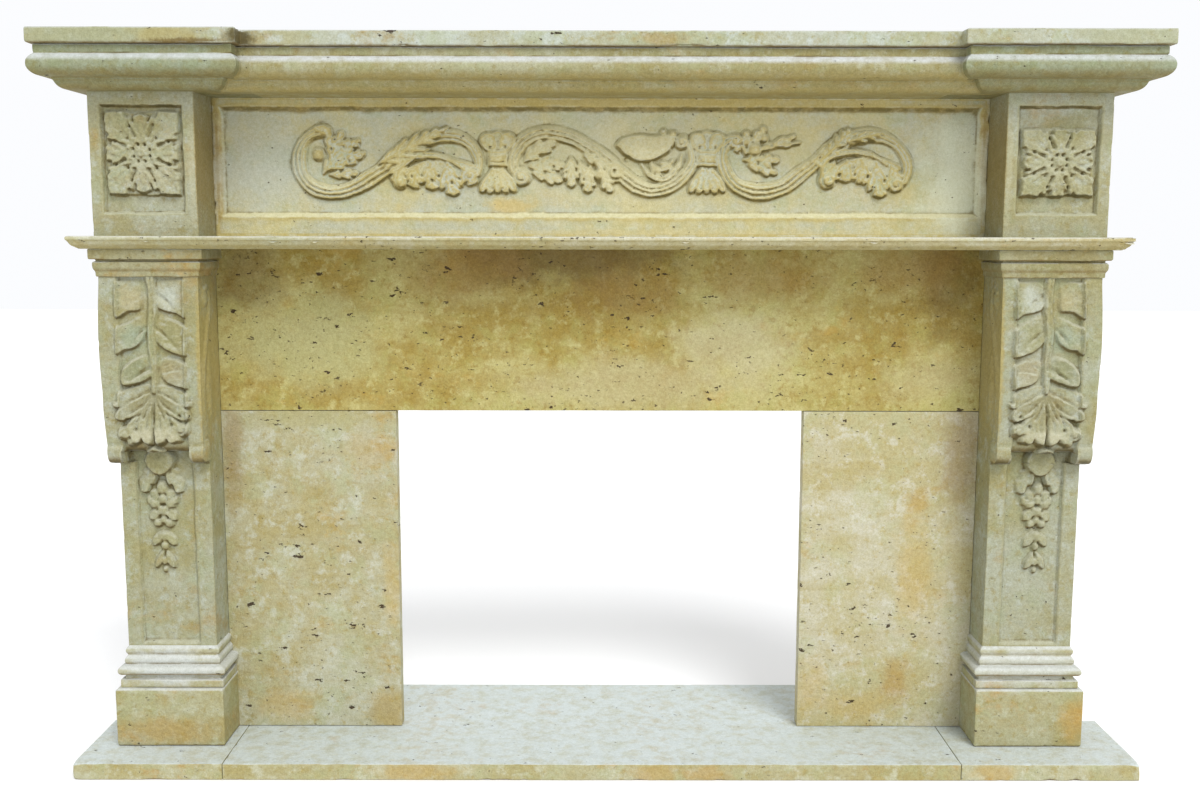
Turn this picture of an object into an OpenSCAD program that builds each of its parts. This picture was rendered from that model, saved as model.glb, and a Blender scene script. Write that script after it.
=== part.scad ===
// Stone fireplace mantel: a hearth, two carved console legs on plinths, slips round the
// firebox opening, a frieze with a running scroll, and a stepped shelf.
// +X runs to the viewer's right, -Y faces the room, +Z is up. The origin is on the floor,
// on the centre line, in the plane of the wall that the mantel stands against.

/* [Setting out] */
// Width of the shelf, end to end
shelf_w = 1900; // [1890:2:1920]
// Width between the inner faces of the legs
clear_w = 1400; // [1392:2:1404]
// Depth from the wall to the face of the frieze blocks
block_d = 131; // [125:1:150]
// Thickness of the slips, the frieze panel and the hearth
slab_t = 30; // [26:1:34]

/* [Firebox opening] */
// Width of the opening
opening_w = 752; // [600:2:900]
// Height of the opening above the hearth
opening_h = 607; // [500:1:700]

/* [Hearth] */
// Distance that the hearth runs out in front of the wall
hearth_front = 207; // [190:1:260]
// Distance that its middle slab runs back into the fire recess
hearth_back = 197; // [60:1:240]
// Whole width of the hearth
hearth_w = 1892; // [1860:2:1940]
// Distance that the hearth lies off the centre line
hearth_shift = 12; // [0:1:12]
// Width of its middle slab
hearth_mid_w = 1310; // [1200:2:1380]

/* [Heights] */
// Height of the plain plinth block
plinth_h = 108; // [90:1:120]
// Height of the mouldings on the plinth
base_h = 76; // [76:1:76]
// Height of the leg between its plinth and its capital
leg_h = 672; // [672:1:672]
// Height of the capital
capital_h = 48; // [48:1:48]
// Height of the straight moulding on the capitals
architrave_h = 22; // [22:1:22]
// Height of the frieze
frieze_h = 245; // [240:1:260]
// Height of the cornice moulding
cornice_h = 71; // [71:1:71]
// Thickness of the shelf
shelf_t = 26; // [22:1:32]

/* [Cornice and shelf] */
// Overhang of the shelf past the frieze blocks
shelf_over = 71; // [71:1:78]
// Depth of the break between the ends and the middle of the cornice
break_d = 32; // [20:1:40]
// Distance that the cornice ends run past the blocks towards the middle
break_in = 23; // [20:1:40]

/* [Legs] */
// Depth of the sunken field on the face of a leg
field_sink = 8; // [6:1:9]
// Width of the flat border at each side of the field
field_border = 27; // [24:1:29]
// Height of the carving above its field
leaf_rise = 17; // [12:1:20]

/* [Frieze] */
// Depth of the sunken panels in the frieze
panel_sink = 9; // [6:1:12]
// Height of the carving above its panel
scroll_rise = 13; // [10:1:14]

/* [Hidden] */
$fn = 64;

cream = [0.85, 0.79, 0.62];
warm = [0.83, 0.74, 0.54];
pale = [0.84, 0.83, 0.76];
ochre = [0.78, 0.66, 0.42];

// heights of the beds, from the floor
z_hearth = slab_t;
z_base = z_hearth + plinth_h;
z_leg = z_base + base_h;
z_capital = z_leg + leg_h;
z_architrave = z_capital + capital_h;
z_frieze = z_architrave + architrave_h;
z_cornice = z_frieze + frieze_h;
z_shelf = z_cornice + cornice_h;

// half widths and faces
block_out = shelf_w / 2 - shelf_over;
block_lap = 3; // the frieze blocks stand this much past the legs, towards the middle
block_in = clear_w / 2 - block_lap;
leg_in = clear_w / 2;
shaft_set = 18; // outer side of the shaft, back from the side of the block over it
shaft_out = block_out - shaft_set;
shaft_back = 24; // face of the shaft, back from the face of the block
shaft_d = block_d - shaft_back;
console_set = 6; // outer side of the console, back from the side of the block
console_out = block_out - console_set;
console_lead = 5; // face of the console, in front of the face of the block
console_d = block_d + console_lead;
middle_d = block_d - break_d;

// furthest projections of the mouldings
torus_out = 72;
architrave_over = 37;
capital_over = 12;
plinth_over = 21;

cut = 1; // overrun of a cutter
lap = 0.01; // overlap that joins two outlines

// ---------------------------------------------------------------- mouldings
// A moulding is a flat profile: x is its projection in front of a face, y its height.
// face_run extrudes it along X in front of a face at depth d, and side_run lays the same
// profile on the two ends, so that their intersection is a mitred run.

module face_run(d, x0, x1) {
    translate([x0, -d, 0])
        rotate([90, 0, 90])
            linear_extrude(height = x1 - x0)
                union() {
                    mirror([1, 0]) children();
                    translate([-lap, 0]) square([d + lap, $run_h]);
                }
}

module side_run(x0, x1, deep) {
    rotate([90, 0, 0])
        linear_extrude(height = deep)
            union() {
                translate([x0, 0]) square([x1 - x0, $run_h]);
                translate([x0 + lap, 0]) mirror([1, 0]) children();
                translate([x1 - lap, 0]) children();
            }
}

// Mitred block of moulding on three sides of a core that spans x0..x1 and is d deep
module mitred(x0, x1, d, h, over) {
    $run_h = h;
    intersection() {
        face_run(d, x0 - over - cut, x1 + over + cut) children();
        side_run(x0, x1, d + over + cut) children();
    }
}

module cornice_profile() {
    square([22, 18]);
    translate([22, 18]) circle(r = 18);
    translate([0, 15]) square([42, 10]);
    translate([0, 19]) square([53, 38]);
    translate([53, 38]) circle(r = 19);
    translate([0, 57]) square([62, cornice_h - 57]);
}

module architrave_profile() {
    square([22, 14]);
    translate([22, 14]) intersection() {
        circle(r = 11);
        translate([0, -11]) square([11, 12]);
    }
    translate([0, 13]) square([33, 2]);
    translate([0, 14]) square([35, 8]);
    translate([33, 18]) circle(r = 4);
}

module capital_profile() {
    translate([-cut, 0]) square([cut + 3, 18]);
    translate([-5, 18]) circle(r = 12);
    translate([-cut, 18]) square([cut + 7, 8]);
    translate([-cut, 25]) square([cut + 2, 6]);
    translate([-cut, 30]) square([cut + 12, 18]);
}

// Base moulding between the shaft (projection 0) and the plinth block (projection 21):
// a fillet, a hollow, a bold torus, then two shallow rolls up to the shaft
module base_profile() {
    roll_r = 9;
    translate([-cut, 0]) square([cut + 13, 15]);
    translate([-cut, 0]) square([cut + 6, 40]);
    translate([-cut, 23]) square([cut + 9, 17]);
    translate([9, 31.5]) circle(r = 8.5);
    translate([-2, 49]) circle(r = roll_r);
    translate([-4, base_h - roll_r]) circle(r = roll_r);
}

// ---------------------------------------------------------------- leaves and stems
// Everything carved is drawn flat, in millimetres, rising along +Z, and then stood up
// against its face by on_face.

module on_face(x, z, d, turn = 0) {
    translate([x, -d, z]) rotate([90, 0, 0]) rotate([0, 0, turn]) children();
}

// Half width of a leaf at u from its stalk (0) to its tip (1), as a share of the widest
function leaf_half(u, lobes) = max(0.06, pow(sin(180 * pow(u, 0.8)), 0.75))
    * (1 - (lobes > 0 ? 0.22 * pow(abs(cos(180 * lobes * u)), 3) : 0));

// A leaf with a hollow midrib: length and width, its rise, how far it bends sideways,
// and the number of lobes down each edge
module leaf(length, width, rise, bend = 0, lobes = 0, rows = 5, sunk = 3) {
    cols = 4;
    top = [for (i = [0:rows]) for (j = [0:cols])
        let (u = i / rows, v = 2 * j / cols - 1,
             body = 0.35 + 0.65 * sin(180 * min(1, u * 0.75 + 0.12)),
             cross = abs(v) > 0.9 ? 0.15 : abs(v) > 0.4 ? 1 : 0.62)
        [length * u, width / 2 * leaf_half(u, lobes) * v + bend * u * u, rise * body * cross]];
    foot = [for (i = [0:rows]) for (j = [0, cols]) let (p = top[i * (cols + 1) + j]) [p[0], p[1], -sunk]];
    n = len(top);
    at = function (i, j) i * (cols + 1) + j;
    low = function (i, end) n + 2 * i + end;
    polyhedron(
        points = concat(top, foot),
        faces = concat(
            [for (i = [0:rows - 1]) for (j = [0:cols - 1]) [at(i, j), at(i, j + 1), at(i + 1, j + 1)]],
            [for (i = [0:rows - 1]) for (j = [0:cols - 1]) [at(i, j), at(i + 1, j + 1), at(i + 1, j)]],
            [for (i = [0:rows - 1]) [at(i, 0), at(i + 1, 0), low(i + 1, 0), low(i, 0)]],
            [for (i = [0:rows - 1]) [at(i + 1, cols), at(i, cols), low(i, 1), low(i + 1, 1)]],
            [for (i = [0:rows - 1]) [low(i, 0), low(i + 1, 0), low(i + 1, 1), low(i, 1)]],
            [for (j = [0:cols - 1]) [at(0, j + 1), at(0, j), low(0, 0)]],
            [for (j = [0:cols - 1]) [at(rows, j), at(rows, j + 1), low(rows, 0)]],
            [[at(0, cols), low(0, 0), low(0, 1)], [at(rows, cols), low(rows, 1), low(rows, 0)]]),
        convexity = 6);
}

// Point at t on a smooth curve through the points of a list (t counts the points)
function along(p, t) =
    let (i = min(floor(t), len(p) - 2), f = t - i,
         a = p[max(i - 1, 0)], b = p[i], c = p[i + 1], d = p[min(i + 2, len(p) - 1)])
    0.5 * (2 * b + (c - a) * f + (2 * a - 5 * b + 4 * c - d) * f * f
        + (3 * b - a - 3 * c + d) * f * f * f);

// A round stem along a curve, w wide at its middle and tapering to its ends
module stem(p, w, rise, rings = 20, sunk = 3) {
    sides = [[-1, -sunk / rise], [-1, 0.3], [-0.5, 1], [0.5, 1], [1, 0.3], [1, -sunk / rise]];
    k = len(sides);
    pts = [for (i = [0:rings])
        let (t = (len(p) - 1) * i / rings, o = along(p, t),
             q = along(p, min(t + 0.05, len(p) - 1)) - along(p, max(t - 0.05, 0)),
             side = [-q[1], q[0]] / norm(q),
             half = w / 2 * (0.45 + 0.55 * sin(180 * i / rings)))
        for (s = sides) [o[0] + side[0] * half * s[0], o[1] + side[1] * half * s[0],
                         s[1] < 0 ? -sunk : rise * s[1] * (0.7 + 0.3 * sin(180 * i / rings))]];
    polyhedron(
        points = pts,
        faces = concat(
            [for (i = [0:rings - 1]) for (j = [0:k - 1])
                [i * k + j, i * k + (j + 1) % k, (i + 1) * k + (j + 1) % k]],
            [for (i = [0:rings - 1]) for (j = [0:k - 1])
                [i * k + j, (i + 1) * k + (j + 1) % k, (i + 1) * k + j]],
            [[for (j = [k - 1:-1:0]) j]],
            [[for (j = [0:k - 1]) rings * k + j]]),
        convexity = 10);
}

// ---------------------------------------------------------------- hearth
module hearth_slab(x0, x1, back) {
    color(pale)
        translate([x0, -hearth_front, 0]) cube([x1 - x0, hearth_front + back, slab_t]);
}

hearth_mid_shift = 14; // the middle slab lies this much left of the centre line
mid_x0 = -hearth_mid_w / 2 - hearth_mid_shift;
mid_x1 = hearth_mid_w / 2 - hearth_mid_shift;
module hearth_left() {
    hearth_slab(hearth_shift - hearth_w / 2, mid_x0, 0);
}
module hearth_middle() {
    hearth_slab(mid_x0, mid_x1, hearth_back);
}
module hearth_right() {
    hearth_slab(mid_x1, hearth_shift + hearth_w / 2, 0);
}

// ---------------------------------------------------------------- slips
module slip_jamb() {
    color(warm)
        translate([opening_w / 2, -slab_t, z_hearth])
            cube([leg_in - opening_w / 2, slab_t, opening_h]);
}
module slip_left() {
    mirror([1, 0, 0]) slip_jamb();
}
module slip_right() {
    slip_jamb();
}
module slip_header() {
    color(warm)
        translate([-leg_in, -slab_t, z_hearth + opening_h])
            cube([2 * leg_in, slab_t, z_architrave - z_hearth - opening_h]);
}
// The mouldings stop against the face of the slips
module clear_of_slips() {
    difference() {
        children();
        translate([0, -slab_t, 0]) cube([leg_in, slab_t + cut, z_architrave + cut]);
    }
}

// ---------------------------------------------------------------- plinths
plinth_inner_over = 14;
plinth_in = leg_in - plinth_inner_over;
plinth_out = shaft_out + plinth_over;
module plinth() {
    color(ochre) clear_of_slips() union() {
        translate([plinth_in, -shaft_d - plinth_over, z_hearth])
            cube([plinth_out - plinth_in, shaft_d + plinth_over, plinth_h]);
        translate([0, 0, z_base])
            mitred(leg_in, shaft_out, shaft_d, base_h, plinth_over) base_profile();
    }
}
module plinth_left() {
    mirror([1, 0, 0]) plinth();
}
module plinth_right() {
    plinth();
}

// ---------------------------------------------------------------- capitals
module capital() {
    color(cream) clear_of_slips()
        translate([0, 0, z_capital])
            mitred(leg_in, console_out, console_d, capital_h, capital_over) capital_profile();
}
module capital_left() {
    mirror([1, 0, 0]) capital();
}
module capital_right() {
    capital();
}

// ---------------------------------------------------------------- legs
console_h = 310;
volute_r = 19;
console_z = z_capital - console_h;
eye_d = console_d + console_lead - volute_r; // depth of the eye of the volute
leg_mid = (leg_in + shaft_out) / 2;
field_w = shaft_out - leg_in - 2 * field_border;

// Face of the console at height z over its foot: a long double curve
function console_swell(s) = 7 * sin(180 * s) * (1 - s) + 5 * pow(1 - s, 2);
console_steps = 12;
console_face = [for (i = [console_steps:-1:0]) let (s = i / console_steps)
    [-console_d - console_swell(s), volute_r + s * (console_h - volute_r)]];

// Side outline of the leg, set back from its face by the depth given
module leg_outline(back) {
    translate([-shaft_d + back, 0]) square([shaft_d - back, console_z - z_leg + cut]);
    translate([0, console_z - z_leg]) {
        polygon(concat([[0, 0], [0, console_h]], [for (p = console_face) [p[0] + back, p[1]]],
                       [[-shaft_d + back, volute_r], [-shaft_d + back, 0]]));
        translate([back - eye_d, volute_r]) circle(r = volute_r);
    }
}

module leg_side(x0, x1, back) {
    translate([x0, 0, z_leg]) rotate([90, 0, 90])
        linear_extrude(height = x1 - x0) leg_outline(back);
}

// Carved drop on the face of a leg: three pairs of hanging leaves, an acanthus, then husks
leaf_pitch = 60;
stalk_h = 196;
lobe_pitch = 26;
module leg_leaves() {
    x = leg_mid + 4;
    face = console_d - field_sink;
    stalk_z = z_capital - stalk_h;
    for (row = [0:2], side = [-1, 1])
        on_face(x + side * 6, z_capital - 8 - row * leaf_pitch, face + 2 + row, -90 + side * 44)
            leaf(68, 38, leaf_rise - 2, side * 8);
    on_face(x, stalk_z - 4, face, 90) leaf(stalk_h, 16, leaf_rise - 6);
    // acanthus: lobes fanning down and out from the foot of the stalk
    for (side = [-1, 1], k = [0:2])
        on_face(x + side * (8 + k * 3), stalk_z - lobe_pitch * k, face + 4, -90 + side * (62 - 21 * k))
            leaf(54 + 8 * k, 30, leaf_rise, -side * 12);
    on_face(x, stalk_z - 22, face + 6, -90) leaf(86, 46, leaf_rise, lobes = 3);
}

// Heights in the string of husks, from its top
husks_z = console_z - 6;
pair_z = husks_z - 34;
flower_z = husks_z - 84;
bud_z = husks_z - 110;
drop_z = husks_z - 150;
drop_pitch = 26;
module leg_husks() {
    face = shaft_d - field_sink;
    x = leg_mid + 2;
    on_face(x, husks_z, face, -90) leaf(44, 30, leaf_rise);
    for (side = [-1, 1])
        on_face(x + side * 3, pair_z, face, -90 + side * 42) leaf(36, 20, leaf_rise - 3);
    for (k = [0:5])
        on_face(x, flower_z, face, 60 * k + 30) leaf(24, 18, leaf_rise - 4, rows = 4);
    on_face(x, flower_z, face) translate([0, 0, -2]) cylinder(r = 8, h = leaf_rise);
    on_face(x, bud_z, face, -90) leaf(38, 20, leaf_rise - 3);
    for (k = [0:1])
        on_face(x, drop_z - drop_pitch * k, face, -90) leaf(24, 15 - 3 * k, leaf_rise - 6, rows = 4);
}

// Scroll on each side of the console, hanging below its foot, with a boss at its eye
scroll_r = volute_r + 3;
scroll_w = 26;
boss_r = scroll_r - 9;
boss_out = 6;
module leg_scrolls() {
    for (x = [leg_in, console_out - scroll_w])
        translate([x, -eye_d, console_z + 1])
            rotate([0, 90, 0]) cylinder(r = scroll_r, h = scroll_w);
    translate([leg_in, -eye_d, console_z + 1])
        rotate([0, 90, 0]) cylinder(r = boss_r, h = console_out + boss_out - leg_in);
}

module leg() {
    color(cream) {
        difference() {
            union() {
                leg_side(leg_in, shaft_out, 0);
                intersection() {
                    leg_side(leg_in, console_out, 0);
                    translate([leg_in, -2 * console_d, console_z])
                        cube([console_out - leg_in, 2 * console_d, console_h]);
                }
                leg_scrolls();
            }
            difference() {
                translate([leg_in + field_border, -2 * console_d, z_leg - cut])
                    cube([field_w + 6, 2 * console_d, leg_h + cut]);
                leg_side(leg_in, console_out, field_sink);
            }
        }
        leg_leaves();
        leg_husks();
    }
}
module leg_left() {
    mirror([1, 0, 0]) leg();
}
module leg_right() {
    leg();
}

// ---------------------------------------------------------------- architrave
module architrave() {
    color(cream) translate([0, 0, z_architrave])
        mitred(-block_out, block_out, block_d, architrave_h, architrave_over) architrave_profile();
}

// ---------------------------------------------------------------- frieze
tile_margin = 20; // rim left round the sunken panel of a block, at its sides
recess_z = 40;
recess_top = 25;
recess_bevel = 5;
tile_z = 69; // foot of the rosette's tile over the foot of the frieze
tile_gap = 6; // ground left at each side of the tile
panel_rim = 11; // rims left round the long panel
panel_foot = 36;
panel_top = 14;
panel_bevel = 9;

// Sunken panel with a bevelled edge, in a face at depth d
module sunken(x0, x1, z0, z1, d, sink, bevel) {
    hull() {
        translate([x0, -d - cut, z0]) cube([x1 - x0, cut, z1 - z0]);
        translate([x0 + bevel, -d, z0 + bevel]) cube([x1 - x0 - 2 * bevel, sink, z1 - z0 - 2 * bevel]);
    }
}

// Rosette on its own square tile: two rings of petals, corner leaves and a button
module rosette(x, z, tile_w, tile_h, face) {
    thick = 6;
    on_face(x, z, face) translate([-tile_w / 2, -tile_h / 2, -cut]) cube([tile_w, tile_h, thick + cut]);
    for (sx = [-1, 1], sz = [-1, 1])
        on_face(x, z, face + thick - 1, atan2(sz * tile_h, sx * tile_w))
            leaf(norm([tile_w, tile_h]) / 2 - 6, 26, 5, rows = 3, sunk = 2);
    for (k = [0:7])
        on_face(x, z, face + thick - 1, 45 * k + 22.5) leaf(56, 27, 7, rows = 4, sunk = 2);
    for (k = [0:7])
        on_face(x, z, face + thick + 2, 45 * k) leaf(34, 17, 7, rows = 3, sunk = 4);
    on_face(x, z, face + thick) cylinder(r = 9, h = 12);
}

module frieze_block(tile_h) {
    color(cream) {
        difference() {
            translate([block_in, -block_d, z_frieze]) cube([block_out - block_in, block_d, frieze_h]);
            sunken(block_in + tile_margin, block_out - tile_margin, z_frieze + recess_z,
                   z_cornice - recess_top, block_d, panel_sink, recess_bevel);
        }
        rosette((block_in + block_out) / 2, z_frieze + tile_z + tile_h / 2,
                block_out - block_in - 2 * tile_margin - 2 * tile_gap, tile_h, block_d - panel_sink);
    }
}
module frieze_block_left() {
    mirror([1, 0, 0]) frieze_block(144);
}
module frieze_block_right() {
    frieze_block(116);
}

// Running scroll, about the middle of the panel: three stems between two knots
stems = [
    [[-489, 52], [-532, 42], [-547, 0], [-525, -38], [-475, -48], [-420, -36], [-375, -4],
     [-335, 30], [-287, 46], [-245, 34], [-222, 0]],
    [[-156, -32], [-157, 0], [-143, 30], [-107, 51], [-65, 46], [-30, 26], [5, -4],
     [40, -38], [82, -55], [125, -52], [160, -27], [178, 6]],
    [[221, 24], [231, -18], [260, -44], [300, -50], [345, -36], [388, -6], [424, 26],
     [473, 46], [515, 34], [545, 4], [556, -24]]
];
knots = [-185, 192];
// leaves of the scroll: x, z, direction, length, width, bend
sprays = [
    [-500, 14, 40, 48, 26, 6], [-502, 10, 5, 56, 28, 0], [-500, 4, -35, 46, 26, -6],
    [-352, 22, 42, 74, 30, 10], [-360, -14, -62, 44, 30, 4], [-330, -12, -75, 42, 30, 4],
    [-296, -10, -80, 44, 32, 2], [-262, -14, -72, 44, 32, 2], [-352, -10, -2, 128, 30, 0],
    [-124, 0, 62, 48, 28, -8], [-130, 4, 8, 56, 26, -6], [-34, 6, -70, 46, 28, 0],
    [-10, -8, -30, 50, 30, 0], [20, 4, 12, 118, 50, 18], [106, -10, 60, 56, 28, 0],
    [112, -22, 8, 50, 26, 0], [256, 8, 50, 58, 30, 0], [256, 0, 12, 86, 32, 8],
    [262, -8, -24, 60, 24, 6], [402, 20, 40, 70, 28, 8], [398, -20, -64, 44, 30, 4],
    [430, -16, -78, 46, 32, 4], [468, -12, -84, 50, 34, 2], [510, -16, -80, 46, 34, 2],
    [396, -14, -2, 140, 30, 0]
];

module scroll_work(face) {
    for (s = stems) on_face(0, 0, face) stem(s, 22, scroll_rise);
    for (s = sprays) on_face(s[0], s[1], face, s[2]) leaf(s[3], s[4], scroll_rise - 1, s[5], rows = 4);
    for (x = knots) {
        for (turn = [-24, 0, 24]) {
            on_face(x + turn / 4, -8, face, 90 - turn) leaf(72, 18, scroll_rise, rows = 4);
            on_face(x + turn / 4, 0, face, -90 - turn) leaf(58, 20, scroll_rise, rows = 4);
        }
        translate([x - 17, -face, 4]) rotate([0, 90, 0]) cylinder(r = scroll_rise, h = 34);
    }
}

scroll_z = z_frieze + 129;
module frieze_panel() {
    color(cream) {
        difference() {
            translate([-block_in, -slab_t, z_frieze]) cube([2 * block_in, slab_t, frieze_h]);
            sunken(panel_rim - block_in, block_in - panel_rim, z_frieze + panel_foot,
                   z_cornice - panel_top, slab_t, panel_sink, panel_bevel);
        }
        translate([0, 0, scroll_z]) scroll_work(slab_t - panel_sink);
    }
}

// ---------------------------------------------------------------- cornice and shelf
joint_x = block_in - break_in - torus_out;

module cornice_run(x0, x1) {
    $run_h = cornice_h;
    face_run(middle_d, x0, x1) cornice_profile();
}

module cornice_end() {
    color(pale) translate([0, 0, z_cornice]) union() {
        mitred(block_in - break_in, block_out, block_d, cornice_h, torus_out) cornice_profile();
        cornice_run(joint_x, block_out);
    }
}
module cornice_left() {
    mirror([1, 0, 0]) cornice_end();
}
module cornice_right() {
    cornice_end();
}
module cornice_middle() {
    color(pale) translate([0, 0, z_cornice]) cornice_run(-joint_x, joint_x);
}

module shelf() {
    out = shelf_w / 2;
    front = block_d + shelf_over;
    turn = block_in - break_in - shelf_over;
    color(pale) translate([0, 0, z_shelf]) linear_extrude(height = shelf_t)
        polygon([[-out, 0], [-out, -front], [-turn, -front], [-turn, -front + break_d],
                 [turn, -front + break_d], [turn, -front], [out, -front], [out, 0]]);
}

hearth_left();
hearth_middle();
hearth_right();
plinth_left();
plinth_right();
leg_left();
leg_right();
capital_left();
capital_right();
slip_left();
slip_right();
slip_header();
architrave();
frieze_block_left();
frieze_block_right();
frieze_panel();
cornice_left();
cornice_middle();
cornice_right();
shelf();
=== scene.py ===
import math

import bpy
import numpy as np
from mathutils import Matrix, Vector


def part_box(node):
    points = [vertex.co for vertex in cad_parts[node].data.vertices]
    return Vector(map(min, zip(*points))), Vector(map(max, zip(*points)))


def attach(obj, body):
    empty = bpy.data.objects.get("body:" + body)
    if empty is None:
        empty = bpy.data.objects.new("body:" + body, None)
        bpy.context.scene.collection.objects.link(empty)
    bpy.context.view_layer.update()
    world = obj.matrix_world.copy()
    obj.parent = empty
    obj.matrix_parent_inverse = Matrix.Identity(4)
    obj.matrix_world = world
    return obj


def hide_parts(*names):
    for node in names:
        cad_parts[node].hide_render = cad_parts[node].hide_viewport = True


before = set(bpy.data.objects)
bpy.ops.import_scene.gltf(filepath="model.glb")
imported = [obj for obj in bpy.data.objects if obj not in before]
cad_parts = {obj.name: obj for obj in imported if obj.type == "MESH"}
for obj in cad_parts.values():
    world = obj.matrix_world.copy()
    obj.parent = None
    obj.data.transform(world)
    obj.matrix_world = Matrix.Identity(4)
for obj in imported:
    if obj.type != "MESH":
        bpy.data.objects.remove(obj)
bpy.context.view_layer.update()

MM = 0.001
OUT = {"left": -1, "right": 1}  # way along X that leads outwards on each side


def node_box(node):
    """Lowest and highest corner of a CAD node, in millimetres."""
    lo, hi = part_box(node)
    return np.array(lo) / MM, np.array(hi) / MM


# ---------------------------------------------------------------- noise and curves
def cell_value(i, j, k, seed):
    """Repeatable random value from 0 to 1 at each whole-numbered point."""
    n = (i * 73856093) ^ (j * 19349663) ^ (k * 83492791) ^ (seed * 26544357)
    n = ((n ^ (n >> 13)) * 1274126177) & 0x7FFFFFFF
    n = (n ^ (n >> 16)) & 0xFFFF
    return n / 65535.0


def noise(p, size, seed, octaves=2):
    """Smooth noise from -1 to 1 at points p, with patches about size millimetres across."""
    total, weight, reach = 0.0, 1.0, 0.0
    for _ in range(octaves):
        q = np.asarray(p, float) / size
        cell = np.floor(q).astype(np.int64)
        f = q - cell
        f = f * f * (3 - 2 * f)
        value = 0.0
        for corner in np.ndindex(2, 2, 2):
            share = np.prod([f[..., a] if corner[a] else 1 - f[..., a] for a in range(3)], axis=0)
            value = value + share * cell_value(*(cell[..., a] + corner[a] for a in range(3)), seed)
        total = total + weight * (2 * value - 1)
        reach += weight
        weight *= 0.5
        size = size / 2.1
        seed += 17
    return total / reach


def ease(v):
    """0 below 0, 1 above 1, and a smooth step between."""
    v = np.clip(v, 0, 1)
    return v * v * (3 - 2 * v)


def curve_through(points, steps):
    """A smooth curve through the points of a list, as steps + 1 points."""
    p = np.array([points[0], *points, points[-1]], float)
    out = []
    for t in np.linspace(0, len(points) - 1, steps + 1):
        i = min(int(t), len(points) - 2)
        f = t - i
        a, b, c, d = p[i:i + 4]
        bend = (2 * a - 5 * b + 4 * c - d) * f * f + (3 * b - a - 3 * c + d) * f ** 3
        out.append(0.5 * (2 * b + (c - a) * f + bend))
    return np.array(out)


def spaced(lo, hi, pitch, fine=()):
    """Values from lo to hi about pitch apart, with extra ones close to both ends."""
    count = max(1, round((hi - lo) / pitch))
    inner = np.linspace(lo, hi, count + 1)
    ends = [lo + f for f in fine if 2 * f < hi - lo] + [hi - f for f in fine if 2 * f < hi - lo]
    keep = [v for v in inner[1:-1] if v - lo > max(fine, default=0) and hi - v > max(fine, default=0)]
    return np.array(sorted({lo, hi, *ends, *keep}))


def soften(p, passes):
    """Evens a grid of points out over its neighbours, leaving its border rows where they are."""
    for _ in range(passes):
        for axis in (0, 1):
            q = np.moveaxis(p, axis, 0)
            middle = 0.25 * q[:-2] + 0.5 * q[1:-1] + 0.25 * q[2:]
            q = np.concatenate([q[:1], middle, q[-1:]])
            p = np.moveaxis(q, 0, axis)
    return p


# ---------------------------------------------------------------- carving
EDGE = 2.4  # run over which the edge of a carved form falls to its ground
HAND = 0.9  # how far the carver's lines wander


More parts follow.
